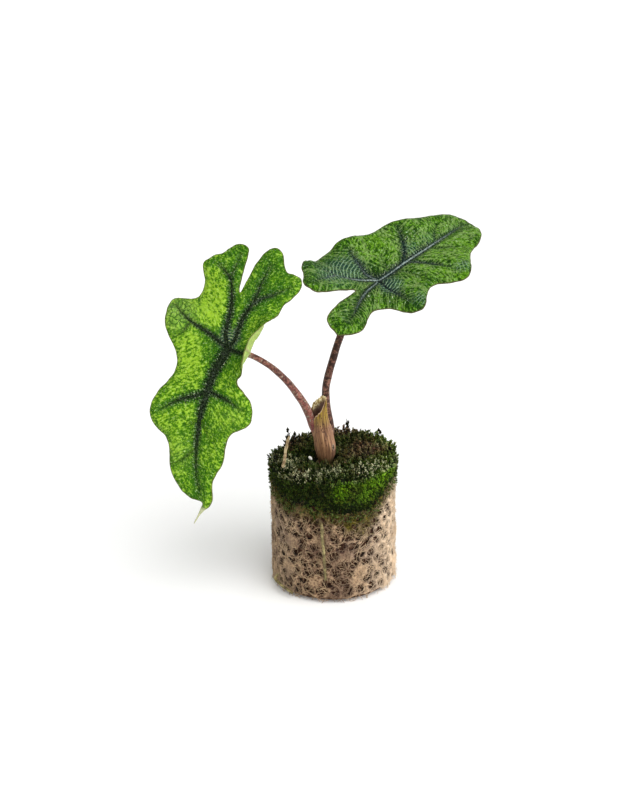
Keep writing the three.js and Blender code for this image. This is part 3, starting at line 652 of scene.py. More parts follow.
def bladeNormals(blade, flat):
    step = 0.12
    lengthwise = bladeSurface(blade, flat + (step, 0)) - bladeSurface(blade, flat - (step, 0))
    crosswise = bladeSurface(blade, flat + (0, step)) - bladeSurface(blade, flat - (0, step))
    return unit(np.cross(lengthwise, crosswise))


def marginLine(blade):
    # The margin's closed curve at an even spacing, very slightly uneven like a cut from life
    stops = np.array(blade["margin"], float)
    t = np.linspace(0, 1, 30, endpoint=False)[:, None]
    samples = []
    for n in range(len(stops)):
        before, start, end, after = (stops[(n + k) % len(stops)] for k in (-1, 0, 1, 2))
        bend, twist = 2 * before - 5 * start + 4 * end - after, 3 * start - before - 3 * end + after
        samples.append(0.5 * (2 * start + (end - before) * t + bend * t ** 2 + twist * t ** 3))
    dense = np.vstack(samples + [samples[0][:1]])
    run = np.concatenate([[0], np.cumsum(np.linalg.norm(np.diff(dense, axis=0), axis=1))])
    even = np.linspace(0, run[-1], round(run[-1] / bladeMake["pointSpacing"]), endpoint=False)
    line = np.stack([np.interp(even, run, column) for column in dense.T], axis=1)
    outward = np.roll(line, -1, axis=0) - np.roll(line, 1, axis=0)
    outward = unit(np.stack([outward[:, 1], -outward[:, 0]], axis=1))
    return line + outward * (0.07 * waves(line, 2.6, 3))[:, None]


def sideVeins(mainLines, outline, spacing, random):
    # Side veins that leave the main ones at an angle and bend towards their tips
    made = []
    for n, (line, run) in enumerate(mainLines):
        others = np.vstack([other for k, (other, _) in enumerate(mainLines) if k != n])
        for sign in (-1, 1):
            at = random.uniform(0.5, 1.5)
            while at < run[-1] - 0.4:
                k = int(np.searchsorted(run, at))
                ahead = unit(line[min(k + 1, len(line) - 1)] - line[k - 1])
                heading = math.atan2(ahead[1], ahead[0]) + sign * math.radians(random.uniform(52, 66))
                place, path = line[k], [line[k]]
                for step in range(26):
                    heading -= sign * math.radians(random.uniform(0.2, 2.6))
                    place = place + 0.4 * np.array([math.cos(heading), math.sin(heading)])
                    path.append(place)
                    met = step > 1 and np.hypot(*(others - place).T).min() < 0.5
                    if met or not insideLoop(place[None], outline)[0]:
                        break
                if len(path) > 3:
                    made.append(curveThrough(path, 0.08)[0])
                at += spacing * random.uniform(0.75, 1.25)
    return np.vstack(made)


def bladeParts(blade, seed):
    # Everything about a blade's points: where they are and what lies near them
    random = np.random.default_rng(seed)
    outline = marginLine(blade)
    gap = bladeMake["pointSpacing"]
    low, high = outline.min(axis=0), outline.max(axis=0)
    rows = np.arange(low[1], high[1], gap * 0.866)
    grid = [(x, y) for n, y in enumerate(rows) for x in np.arange(low[0] + (n % 2) * gap / 2, high[0], gap)]
    grid = np.array(grid) + random.uniform(-0.03, 0.03, (len(grid), 2))
    grid = grid[insideLoop(grid, outline)]
    grid = grid[nearestOn(grid, outline)[0] > gap * 0.65]
    flat, triangles = fillOutline(outline, grid)
    marginGap = nearestOn(flat, outline)[0]

    mainLines = [curveThrough(vein[0], 0.06) for vein in blade["veins"]]
    veinGap = np.full(len(flat), 1e9)
    veinRun, veinCentre, veinShare, fringe, silver, ink = (np.zeros(len(flat)) for _ in range(6))
    for n, ((line, run), vein) in enumerate(zip(mainLines, blade["veins"])):
        _, startHalf, endHalf, fringed, silvered = vein
        centre, which = nearestOn(flat, line)
        share = run[which] / run[-1]
        gapHere = centre - (startHalf + (endHalf - startHalf) * share ** 0.7)
        nearer = gapHere < veinGap
        veinGap[nearer], veinCentre[nearer] = gapHere[nearer], centre[nearer]
        veinRun[nearer], veinShare[nearer] = run[which][nearer] + 3.7 * n, share[nearer]
        fringe[nearer] = fringed * (1 - 0.6 * share[nearer])
        ink[nearer] = min(1, 0.25 + startHalf * 1.8) * (1 - 0.75 * share[nearer] ** 1.6)
        silver[nearer] = silvered * (1 - share[nearer] ** 1.5)
    sideGap = nearestOn(flat, sideVeins(mainLines, outline, blade["sideVeinGap"], random))[0]

    inner = smooth(marginGap, 0, 1.6)
    fromVein = smooth(veinGap, -0.3, 2.6)
    swell = bladeMake["swell"] * fromVein * inner
    swell += bladeMake["pillow"] * smooth(sideGap, 0.05, 0.8) * inner
    swell += 0.05 * waves(flat, 1.5, seed + 1) * fromVein
    ridges = np.cos(2 * np.pi * veinRun / bladeMake["ridgeGap"] + 3 * waves(flat, 2, seed + 2))
    swell += 0.06 * fringe * ridges * np.exp(-np.maximum(veinGap, 0) / 1.1) * (veinGap > 0) * inner
    swell -= 0.12 * hump(veinGap, 0, 0.3)
    thick = bladeMake["marginThickness"] + (bladeMake["thickness"] - bladeMake["marginThickness"]) * inner
    rib = bladeMake["ribDepth"] * smooth(-veinGap, -0.35, 0.45) * (1 - 0.6 * veinShare) * inner
    rib += 0.14 * hump(sideGap, 0, 0.22) * inner

    # Lengthwise and crosswise of the side veins' slant, mirrored about the midrib
    slant = math.radians(55)
    ahead, aside = np.abs(flat[:, 0]), np.abs(flat[:, 1])
    streaks = np.column_stack([ahead * math.cos(slant) + aside * math.sin(slant),
                               aside * math.cos(slant) - ahead * math.sin(slant),
                               3.0 * np.sign(flat[:, 1]) + 7.0 * (flat[:, 0] < 0)])
    middle = bladeSurface(blade, flat)
    normals = bladeNormals(blade, flat)
    upper = middle + normals * (thick / 2 + swell)[:, None]
    under = middle + normals * (swell * 0.92 - thick / 2 - rib)[:, None]
    attributes = {
        "flatPlace": np.column_stack([flat, np.zeros(len(flat))]),
        "streakPlace": streaks,
        "veinGap": veinGap,
        "ink": ink,
        "veinCentre": veinCentre,
        "veinRun": veinRun,
        "fringe": fringe,
        "silver": silver,
        "sideGap": np.minimum(sideGap, 5),
        "marginGap": marginGap,
        "deep": blobs(flat, blade["zones"]),
        "netting": np.clip(blobs(flat, blade["netting"]), 0, 1),
        "dusky": np.clip(blobs(flat, blade["dusky"]), 0, 1),
    }
    return triangles, upper, under, normals, attributes


def leafFinish(name, look):
    # Living leaf, waxy and pebbled: near-black veins with a broken fringe, bright cells
    # between them, and a broken sheen, partly real gloss and partly highlights painted into the colour
    finish, add, feed = newFinish(name, IOR=1.42, Subsurface_Weight=0.05, Subsurface_Scale=0.0005)
    read = {key: add("Attribute", out="Fac", attribute_name=key) for key in (
        "veinGap", "veinCentre", "veinRun", "fringe", "silver", "sideGap", "marginGap", "deep", "netting",
        "dusky", "ink")}
    place, slanted = (add("Attribute", out="Vector", attribute_name=key)
                      for key in ("flatPlace", "streakPlace"))
    broad, patch, grain = (add("noise", place, scale, 3.0) for scale in (0.26, 0.7, 2.4))
    unsettled = add("minus", grain, 0.5)
    streak = add("noise", add("stretch", slanted, (0.6, 1.0, 1.0)), look["streaksPerMm"], 3.0, 0.65)
    warp = add("noise", place, 0.8, 2.0, out="Color")
    warped = add("VectorMath", warp, (1.3, 1.3, 0), place, operation="MULTIPLY_ADD")
    cells, beads = (
        add("TexVoronoi", {"Vector": warped, "Scale": look[scale]}, out=None, feature=feature,
            voronoi_dimensions="2D").outputs
        for scale, feature in (("cellsPerMm", "DISTANCE_TO_EDGE"), ("beadsPerMm", "F1")))

    # Bright to deep green, by zone, by broad mottling and streak by streak
    depth = add("timesPlus", read["deep"], 0.42, add("ease", broad, 0.3, 0.7, 0.12, 0.42))
    depth = add("plus", depth, add("ease", patch, 0.35, 0.65, -0.1, 0.15))
    depth = add("plus", depth, add("ease", streak, 0.42, 0.58, look["streaky"], -look["streaky"]))
    beside = add("times", add("ease", read["veinGap"], 0.0, 2.6, 0.55, 0.0), read["ink"])
    depth = add("plus", depth, beside)
    colour = add("ramp", depth, stops=look["greens"])

    # Pebbled beads: painted shade in the seams between them, painted light on their crowns, and painted
    # glints on a few
    crown = add("ease", beads["Distance"], 0.12, 0.5, 1.0, 0.0)
    rough = add("ease", add("plus", depth, add("times", patch, 0.5)), 0.2, 0.6, look["calm"], 1.0)
    beadShade = add("times", add("minus", 1.0, crown), add("times", rough, 0.62))
    colour = add("blend", beadShade, colour, look["seam"])
    tint = add("SeparateColor", beads["Color"])
    specks = add("times", add("times", crown, rough), add("ease", tint, 0.3, 1.0, 0.0, 0.5))
    colour = add("blend", specks, colour, look["speck"])
    glint = add("times", add("ease", streak, 0.6, 0.7), add("ease", crown, 0.2, 0.7))
    glint = add("times", glint, add("times", rough, look["glints"]))
    colour = add("blend", glint, colour, look["glint"])

    # The finest veins: a net where the lobe is thin, and the side veins
    net = add("ease", read["netting"], 0.0, 1.0)
    colour = add("blend", add("times", net, look["netCells"]), colour, look["netCell"])
    netLine = add("ease", cells["Distance"], 0.03, 0.14, 1.0, 0.0)
    netLine = add("times", netLine, add("ease", net, 0.0, 1.0, 0.05, 0.85))
    colour = add("blend", netLine, colour, look["netVein"])
    sideLine = add("ease", read["sideGap"], 0.04, 0.22, 1.0, 0.0)
    sideLine = add("times", sideLine, add("ease", patch, 0.35, 0.6, 0.0, look["sideStrength"]))
    colour = add("blend", sideLine, colour, look["sideVein"])

    # Broken hatching square to the main veins: dark fine veins, with painted highlights on the ridges between
    # them
    wander = add("times", add("noise", place, 0.9, 2.0), 14.0)
    phase = add("timesPlus", read["veinRun"], 2 * math.pi / bladeMake["ridgeGap"], wander)
    hatch = add("ease", add("sine", phase), -0.3, 0.7)
    reach = add("ease", add("noise", place, 0.55, 3.0), 0.35, 0.7, 0.5, look["fringe"])
    reach = add("times", read["fringe"], reach)
    gap = add("minus", read["veinGap"], add("times", add("times", hatch, reach), 0.9))
    gap = add("ease", add("minus", gap, add("times", unsettled, 0.9)), 0.05, 0.85, 0.92, 0.0)
    dark = add("times", gap, add("ease", read["ink"], 0.1, 0.9, 0.15, 1.0))
    colour = add("blend", dark, colour, look["fringeDark"])
    spark = add("times", add("minus", 1.0, hatch), add("ease", read["veinGap"], 0.15, 1.3, 1.0, 0.0))
    spark = add("times", spark, read["fringe"])
    spark = add("times", spark, add("ease", grain, 0.5, 0.68, 0.0, look["sparks"]))
    spark = add("times", spark, add("ease", read["veinGap"], -0.05, 0.2))
    colour = add("blend", spark, colour, look["ridgeHighlight"])

    # Ripples where the tissue is drawn up between two main veins, on a dusky ground, with painted highlights
    # along their crests
    dusk = add("times", add("ease", read["dusky"], 0.05, 0.95), add("ease", grain, 0.4, 0.62, 0.3, 0.8))
    colour = add("blend", dusk, colour, look["dusk"])
    wander = add("times", add("noise", place, 0.5, 2.0), 9.0)
    rings = add("VectorMath", place, out="Value", operation="LENGTH")
    rings = add("sine", add("timesPlus", rings, 2 * math.pi / look["ripple"], wander))
    ripple = add("times", add("ease", rings, 0.35, 0.9), add("ease", read["dusky"], 0.1, 0.9))
    ripple = add("times", ripple, add("ease", grain, 0.35, 0.6, 0.3, 1.0))
    colour = add("blend", add("times", ripple, 0.9), colour, look["rippleHighlight"])

    # Main veins with painted highlight flecks and their light core, and the thin margin
    vein = add("ease", add("plus", read["veinGap"], add("times", unsettled, 0.5)), -0.08, 0.22, 1.0, 0.0)
    vein = add("times", vein, add("ease", read["ink"], 0.1, 0.8, 0.3, 1.0))
    veinColour = add("blend", add("ease", grain, 0.42, 0.62, 0.0, 0.75), look["vein"], look["veinHighlight"])
    colour = add("blend", vein, colour, veinColour)
    core = add("times", add("ease", read["veinCentre"], 0.12, 0.34, 1.0, 0.0),
               add("ease", read["silver"], 0.05, 0.8))
    core = add("times", core, add("ease", grain, 0.4, 0.6, 0.2, 1.0))
    colour = add("blend", core, colour, look["core"])
    colour = add("blend", add("ease", read["marginGap"], 0.08, 0.36, 0.8, 0.0), colour, look["margin"])
    if "tail" in look:  # the drawn-out tip is dry and pale
        along = add("SeparateXYZ", place)
        colour = add("blend", add("ease", along, 40.9, 42.6), colour, look["tail"])

    gloss = add("ease", grain, 0.3, 0.7, look["gloss"], look["gloss"] + 0.2)
    relief = add("timesPlus", crown, rough, add("times", grain, 0.35))
    relief = add("plus", relief, add("timesPlus", streak, 2.2, ripple))
    feed(Base_Color=colour, Roughness=add("plus", gloss, add("times", vein, 0.1)),
         Specular_IOR_Level=add("ease", streak, 0.52, 0.66, 0.04, 0.6),  # wax shines on the crests
         Normal=add("Bump", {"Strength": 0.8, "Distance": 0.0002, "Height": relief}))
    return finish


def undersideFinish(name, look):
    # Back of the leaf: paler, matt, with its ribs standing out
    finish, add, feed = newFinish(
        name, IOR=1.42, Roughness=0.5, Subsurface_Weight=0.06, Subsurface_Scale=0.0006)
    grain = add("noise", add("Attribute", out="Vector", attribute_name="flatPlace"), 1.4, 5.0)
    colour = add("ramp", grain, stops=look["under"])
    for key, near, far, strength, overlay in (("sideGap", 0.05, 0.3, 0.45, "underSide"),
                                            ("veinGap", -0.05, 0.35, 0.8, "underVein"),
                                            ("marginGap", 0.08, 0.35, 0.8, "margin")):
        gap = add("Attribute", out="Fac", attribute_name=key)
        colour = add("blend", add("range", gap, near, far, strength, 0.0), colour, look[overlay])
    feed(Base_Color=colour, Normal=add("Bump", {"Strength": 0.5, "Distance": 0.0001, "Height": grain}))
    return finish


leftLook = {
    "netCells": 0.5,
    "netCell": "#8bb24c",
    "ripple": 0.8,
    "rippleHighlight": "#b3c78f",
    "streaksPerMm": 1.7,
    "streaky": 0.23,
    "cellsPerMm": 0.72,
    "beadsPerMm": 1.75,
    "greens": [(0.0, "#98c133"), (0.3, "#63970e"), (0.6, "#3c7408"), (1.0, "#1c4505")],
    "calm": 0.2,
    # seam: painted shade between the beads; speck: painted light on their crowns; glint: painted glints
    "seam": "#2f5a14",
    "speck": "#a6cf52",
    "glint": "#e6f0cf",
    "glints": 0.5,
    "netVein": "#244a12",
    "sideVein": "#2a5716",
    "sideStrength": 0.3,
    "fringe": 1.5,
    "fringeDark": "#12280d",
    "sparks": 0.75,
    "ridgeHighlight": "#d7e6bd",
    "dusk": "#33484a",
    "vein": "#0a1407",
    "veinHighlight": "#34452a",
    "core": "#5a6957",
    "margin": "#5d5c30",
    "tail": "#bfc298",
    "gloss": 0.36,
    "under": [(0.3, "#869f45"), (0.7, "#a3b75c")],
    "underSide": "#7f9a48",
    "underVein": "#8d8a5c",
}
rightLook = {
    "netCells": 0.2,
    "netCell": "#42702a",
    "ripple": 0.95,
    "rippleHighlight": "#9bbd95",
    "streaksPerMm": 1.6,
    "streaky": 0.3,
    "cellsPerMm": 0.8,
    "beadsPerMm": 1.85,
    "greens": [(0.0, "#67991a"), (0.25, "#3c6e08"), (0.5, "#244d05"), (1.0, "#0a2305")],
    "calm": 0.5,
    # seam: painted shade between the beads; speck: painted light on their crowns; glint: painted glints
    "seam": "#1b380c",
    "speck": "#76a234",
    "glint": "#dcebd0",
    "glints": 0.9,
    "netVein": "#16341a",
    "sideVein": "#94b565",
    "sideStrength": 0.55,
    "fringe": 1.6,
    "fringeDark": "#0d1f12",
    "sparks": 0.9,
    "ridgeHighlight": "#c3d8b4",
    "dusk": "#1d3840",
    "vein": "#0a1510",
    "veinHighlight": "#2b453c",
    "core": "#a3b4ae",
    "margin": "#5a5236",
    "gloss": 0.32,
    "under": [(0.3, "#7d9a48"), (0.7, "#98b35c")],
    "underSide": "#6f8c46",
    "underVein": "#8a7f5c",
}

# Short pale hairs over the upper side
leafHair = {"spacing": 0.74, "smallest": 0.5, "largest": 1.15, "lean": 0.9, "seed": 4}


def hairShapes():
    shapes = []
    for n in range(3):
        bend = 0.06 + 0.05 * n
        stops = [(0, 0, -0.05), (0, bend * 0.3, 0.16), (0, bend, 0.34), (0, bend * 2.2, 0.5)]
        line, run = curveThrough(stops, 0.19)
        points, faces, _ = tube(line, run, lambda t, angle: 0.034 * (1 - 0.85 * t), 3)
        shapes.append((points, faces, {}))
    return shapeSet("leafHairShape", shapes)


def hairFinish():
    # Plant hair: thin clear bristles that catch the light
    finish, add, feed = newFinish("leafHair", Roughness=0.3, IOR=1.45)
    chance = add("Attribute", out="Fac", attribute_name="chance")
    feed(Base_Color=add("ramp", chance, stops=[(0.0, "#6f9a3e"), (0.6, "#9dbc6c"), (1.0, "#d2dfb4")]))
    return finish


def makeLeaves():
    shapes, hair = hairShapes(), hairFinish()
    for side, blade, look, slot, seed in (("left", leftBlade, leftLook, "leaf_light", 11),
                                          ("right", rightBlade, rightLook, "leaf_dark", 23)):
        triangles, upper, under, normals, attributes = bladeParts(blade, seed)
        points, faces, finishOf = thickSheet(triangles, upper, under)
        both = {key: np.concatenate([values, values]) for key, values in attributes.items()}
        finishes = (leafFinish(f"leafUpper{side.title()}", look),
                    undersideFinish(f"leafUnder{side.title()}", look))
        leaf = meshObject(f"leaf_blade_{side}", points, faces, finishes, both, finishOf=finishOf)
        keepPiece(leaf, slot, f"leaf_{side}")
        cover = 0.55 + 0.45 * np.exp(-np.maximum(attributes["veinGap"], 0) / 1.2)
        carrier = meshObject("carrier", upper, triangles, (), {"cover": cover, "growth": normals})
        keepPiece(scatter(f"leaf_hairs_{side}", carrier, shapes, hair, leafHair), slot)
        bpy.data.objects.remove(carrier)
    clearShapes(shapes)


makeLeaves()


# Leaf stalks and the papery sheath round their foot
stalkMake = {
    "sides": 20,
    "spacing": 0.35,
    "groove": 0.1,
    "left": {
        "path": [(-2.9, -1.9, 35), (-3.2, -1.7, 39), (-3.7, -1.5, 42), (-4.5, -1.4, 44.6), (-5.3, -1.5, 46.8),
                 (-6.1, -2.2, 49.8), (-7.3, -3.4, 53.3), (-9.3, -4.9, 57.3), (-11.7, -6.6, 61.5),
                 (-14.2, -8.1, 64.9), (-16.7, -9.6, 67.8), (-21.2, -11.5, 71.4)],
        "radius": [(0, 1.0), (0.2, 1.18), (0.32, 1.2), (0.55, 0.95), (0.75, 0.82), (0.95, 0.78), (1, 1.1)],
    },
    "right": {
        "path": [(-1.3, -1.5, 35), (-0.9, -1.2, 38.5), (-0.6, -1, 42), (-0.5, -0.8, 46), (-1, -0.6, 49),
                 (-1.4, -0.4, 51.8), (-1.6, -0.1, 54.6), (-1.5, 0.2, 57.2), (-0.9, 0.6, 60), (-0.2, 1, 62.5),
                 (0.6, 1.5, 65), (2.1, 2.6, 69.5), (4.6, 4.2, 74.8), (8.2, 5.7, 78.6)],
        "radius": [(0, 1.0), (0.3, 1.1), (0.5, 1.05), (0.7, 0.98), (0.85, 0.88), (0.96, 0.88), (1, 1.2)],
    },
}


def stalkFinish(name, look):
    # Fleshy leaf stalk, smooth and slightly waxy: pinkish, with dark bands broken across it
    finish, add, feed = newFinish(
        name, IOR=1.4, Specular_IOR_Level=0.3, Subsurface_Weight=0.05, Subsurface_Scale=0.0005)
    place = add("Attribute", out="Vector", attribute_name="stalkPlace")
    share = add("Attribute", out="Fac", attribute_name="share")
    # Noises with their stretch round and along the stalk, scale per mm and detail
    blush, streaked, blotched, flecked, sheenPatches, pores = (
        add("noise", add("stretch", place, stretch), scale, detail) for stretch, scale, detail in (
            ((1, 1, 0.6), 0.55, 3.0), ((1, 1, 0.12), 2.2, 2.0), ((0.6, 0.6, 1.0), 1.25, 4.0),
            ((0.8, 0.8, 1.0), 2.3, 3.0), ((1, 1, 0.8), 1.7, 2.0), ((1, 1, 0.3), 3.0, 3.0)))
    colour = add("blend", share, look["foot"], look["top"])
    colour = add("blend", add("range", blush, 0.36, 0.64), colour, look["pale"])
    streaks = add("range", streaked, 0.48, 0.66, 0.0, 0.6)
    colour = add("blend", streaks, colour, look["streak"])
    # Pale grey patches: painted sheen
    colour = add("blend", add("range", sheenPatches, 0.56, 0.66, 0.0, 0.7), colour, look["sheenGrey"])
    # Broken bands: blotches a millimetre or less long, drawn out round the stalk
    bands = add("Math", add("range", blotched, look["bandFrom"], look["bandFrom"] + 0.07),
                add("range", flecked, 0.52, 0.6, 0.0, 0.9), operation="MAXIMUM")
    bands = add("times", bands, add("range", share, 0.1, 0.5, look["bandFoot"], 0.9))
    feed(Base_Color=add("blend", bands, colour, look["band"]),
         Roughness=add("range", streaks, 0.0, 0.5, 0.38, 0.55),
         Normal=add("Bump", {"Strength": 0.4, "Distance": 0.0001, "Height": pores}))
    return finish


stalkLooks = {
    "left": {"foot": "#7c4146", "top": "#744333", "pale": "#986456", "streak": "#62503f",
             "sheenGrey": "#a09a86", "band": "#432620", "bandFrom": 0.53, "bandFoot": 0.3},
    "right": {"foot": "#623c30", "top": "#583428", "pale": "#8b6151", "streak": "#452a22",
              "sheenGrey": "#7f6c5a", "band": "#26130c", "bandFrom": 0.47, "bandFoot": 0.8},
}


def makeStalks():
    for side, blade in (("left", leftBlade), ("right", rightBlade)):
        seat, _, up, _ = bladeAxes(blade)
        stops = [*stalkMake[side]["path"], seat - up * 3.2, seat - up * 0.35]
        line, run = curveThrough(stops, stalkMake["spacing"])

        def radiusAt(t, angles):
            plain = np.interp(t, *zip(*stalkMake[side]["radius"]))
            grooved = 1 - stalkMake["groove"] * hump(angles, 2.2, 0.5)
            return plain * grooved * (1 + 0.012 * np.sin(7 * angles + 9 * t) + 0.02 * math.sin(60 * t))

        points, faces, places = tube(line, run, radiusAt, stalkMake["sides"])
        finish = stalkFinish(f"stalkSkin{side.title()}", stalkLooks[side])
        stalk = meshObject(f"leaf_stalk_{side}", points, faces, (finish,),
                           {"stalkPlace": places, "share": places[:, 2] / run[-1]})
        keepPiece(stalk, "petiole", f"petiole_{side}")


makeStalks()

sheathMake = {
    "wall": 0.34,
    "columns": 150,
    "rows": 90,
    # Centre x and y and radius, by height
    "shape": [(34.2, -1.9, -2.1, 1.2), (35.4, -1.9, -2.2, 1.5), (36.3, -1.9, -2.2, 1.85),
              (37.4, -1.9, -2.1, 2.3), (38.5, -1.9, -2, 2.6), (40, -1.95, -1.9, 2.82),
              (41.4, -2.1, -1.9, 2.88), (44.3, -2.5, -1.9, 2.68), (47, -2.75, -2, 2.24),
              (50, -2.85, -2.2, 1.94), (52.5, -2.5, -2.3, 1.62), (56, -2, -2.4, 1.25)],
    # How high the free edge stands, by degrees round: -90 is the front
    "edge": [(-180, 44), (-165, 47.6), (-145, 49.9), (-120, 50.8), (-100, 52), (-85, 53.6), (-73, 55.8),
             (-62, 55.4), (-45, 52), (-25, 48), (0, 45), (30, 43.4), (90, 42.6), (150, 43), (180, 44)],
    "scar": {"round": -36, "high": 40.9, "wide": 9, "tall": 0.75},
}
sheathLook = {
    "fibres": [(0.36, "#3d2415"), (0.46, "#7a5237"), (0.62, "#ad845d")],
    "cloud": "#795433",
    "flank": "#97705c",
    "alive": "#9a8122",
    "damp": "#3b2613",
    "foot": "#45431a",
    "speck": "#42210f",
    "scarRim": "#c4ab94",
    "scar": "#33200f",
    "edge": "#d8b394",
    "inside": "#452918",
}
membraneMake = {
    "foot": 47.5,
    "top": 52.4,
    "wall": 0.16,
    "columns": 21,
    "rows": 19,
    "colours": [(0.36, "#6f5426"), (0.5, "#b29d66"), (0.64, "#e4dab2")],
    # shadedFoot: painted shade over the membrane below its torn edge
    "shadedFoot": "#3f2413",
}


def sheathFinish(name, look):
    # Dried cataphyll: papery, lengthwise fibres, olive where it is still alive
    finish, add, feed = newFinish(name, Roughness=0.62, IOR=1.45)
    where = add("Attribute", out="Vector", attribute_name="sheathPlace")
    height, belowEdge, inside, scar, side = (
        add("Attribute", out="Fac", attribute_name=key)
        for key in ("height", "belowEdge", "inside", "scar", "side"))
    fibres, clouds, specks = (
        add("noise", add("stretch", where, (1, 1, along)), scale, detail)
        for along, scale, detail in ((0.07, 2.6, 3.0), (0.5, 0.5, 2.0), (0.8, 1.7, 2.0)))
    alive = add("times", add("range", height, 46.5, 50.0), add("range", fibres, 0.38, 0.56, 0.25, 0.9))
    colour = add("ramp", fibres, stops=look["fibres"])
    for overlay, strength in (
            ("cloud", add("range", clouds, 0.42, 0.62, 0.0, 0.6)),
            ("flank", add("range", side, -62.0, -35.0, 0.0, 0.45)),
            ("alive", alive),
            ("damp", add("range", height, 42.0, 36.8, 0.0, 0.72)),
            ("foot", add("range", height, 38.2, 36.4, 0.0, 0.7)),
            ("speck", add("range", specks, 0.62, 0.66, 0.0, 0.85)),
            ("scarRim", add("range", scar, 1.5, 1.05, 0.0, 0.75)),
            ("scar", add("range", scar, 1.15, 0.75)),
            ("edge", add("range", belowEdge, 0.42, 0.12, 0.0, 0.9)),
            ("inside", inside)):
        colour = add("blend", strength, colour, look[overlay])
    feed(Base_Color=colour, Normal=add("Bump", {"Strength": 0.7, "Distance": 0.00018, "Height": fibres}))
    return finish


def makeSheath():
    make = sheathMake
    columns = make["columns"]
    turn = np.radians(np.arange(columns) / columns * 360 - 180)
    around, level = np.meshgrid(turn, np.linspace(0, 1, make["rows"] + 1))
    degrees = np.degrees(around)
    low = make["shape"][0][0]
    edge = np.interp(degrees, *zip(*make["edge"])) + 0.2 * np.sin(around * 23) * np.sin(around * 7)
    height = low + (edge - low) * level
    shape = np.array(make["shape"])
    cx, cy, radius = (np.interp(height, shape[:, 0], shape[:, k]) for k in (1, 2, 3))
    rolled = polar(2.6, around, height)
    radius = radius + (0.05 * np.sin(around * 18 + np.sin(height * 0.35))
                       + 0.03 * np.sin(around * 41 + 0.3 * height)
                       + 0.06 * waves(rolled, 3.5, 5).reshape(radius.shape))
    # The free edge curls outwards a little, most at the front left
    radius = radius + smooth(level, 0.9, 1.0) * (0.2 + 0.4 * hump(degrees, -110, 30))
    wall = make["wall"] * (1 - 0.5 * smooth(level, 0.7, 1.0))
    centre = np.column_stack([cx.ravel(), cy.ravel(), np.zeros(cx.size)])
    layers = [polar(r, around, height) + centre for r in (radius, radius - wall)]
    points, faces, _ = thickSheet(halved(gridFaces(make["rows"] + 1, columns)), *layers)
    scar = make["scar"]
    scarGap = (np.hypot((degrees - scar["round"]) / scar["wide"], (height - scar["high"]) / scar["tall"])
               + 0.22 * np.sin(around * 31 + height * 5))
    attributes = {key: np.tile(values.ravel(), 2) for key, values in (
        ("belowEdge", edge - height), ("height", height), ("scar", scarGap), ("side", degrees))}
    attributes.update(sheathPlace=np.vstack([rolled, rolled]), inside=np.repeat([0.0, 1.0], height.size))
    finish = sheathFinish("dryPaperySheath", sheathLook)
    sheath = meshObject("stalk_sheath", points, faces, (finish,), attributes)
    keepPiece(sheath, "sheath", "stem_sheath")


def makeMembrane():
    # Scrap of the inner membrane, curled up between the stalks
    make = membraneMake
    u, v = np.meshgrid(np.linspace(0, 1, make["columns"]), np.linspace(0, 1, make["rows"]))
    top = make["top"] + 3.0 * np.sin(1.9 * u) + 0.5 * np.abs(np.sin(17 * u)) - 0.6 * u
    x = -5.5 + 3.7 * u + 0.25 * np.sin(7 * v + 2 * u)
    y = -1.7 - 0.8 * np.sin(np.pi * u) * v + 0.7 * v * v + 0.15 * np.sin(13 * u + 5 * v)
    z = make["foot"] + (top - make["foot"]) * v
    upper = np.column_stack([x.ravel(), y.ravel(), z.ravel()])
    triangles = halved(gridFaces(make["rows"], make["columns"], around=False))
    points, faces, _ = thickSheet(triangles, upper, upper + (0, make["wall"], 0))
    torn = np.clip(smooth(v, 0.72, 1.0) + smooth(v, 0.5, 0.85) * smooth(-u, -0.75, -0.25), 0, 1)
    # Thin dried membrane: creamy and crinkled, light on its torn edge and painted dark over the rest as shade
    # down between the stalks
    finish, add, feed = newFinish("creamMembrane", Roughness=0.5, IOR=1.4)
    crinkle = add("noise", objectMillimetres(add), 2.2, 3.0)
    colour = add("ramp", crinkle, stops=make["colours"])
    edge = add("Attribute", out="Fac", attribute_name="torn")
    feed(Base_Color=add("blend", edge, make["shadedFoot"], colour),
         Normal=add("Bump", {"Strength": 0.8, "Distance": 0.0002, "Height": crinkle}))
    scrap = meshObject("sheath_membrane", points, faces, (finish,), {"torn": np.tile(torn.ravel(), 2)})
    keepPiece(scrap, "sheath")


makeSheath()
makeMembrane()


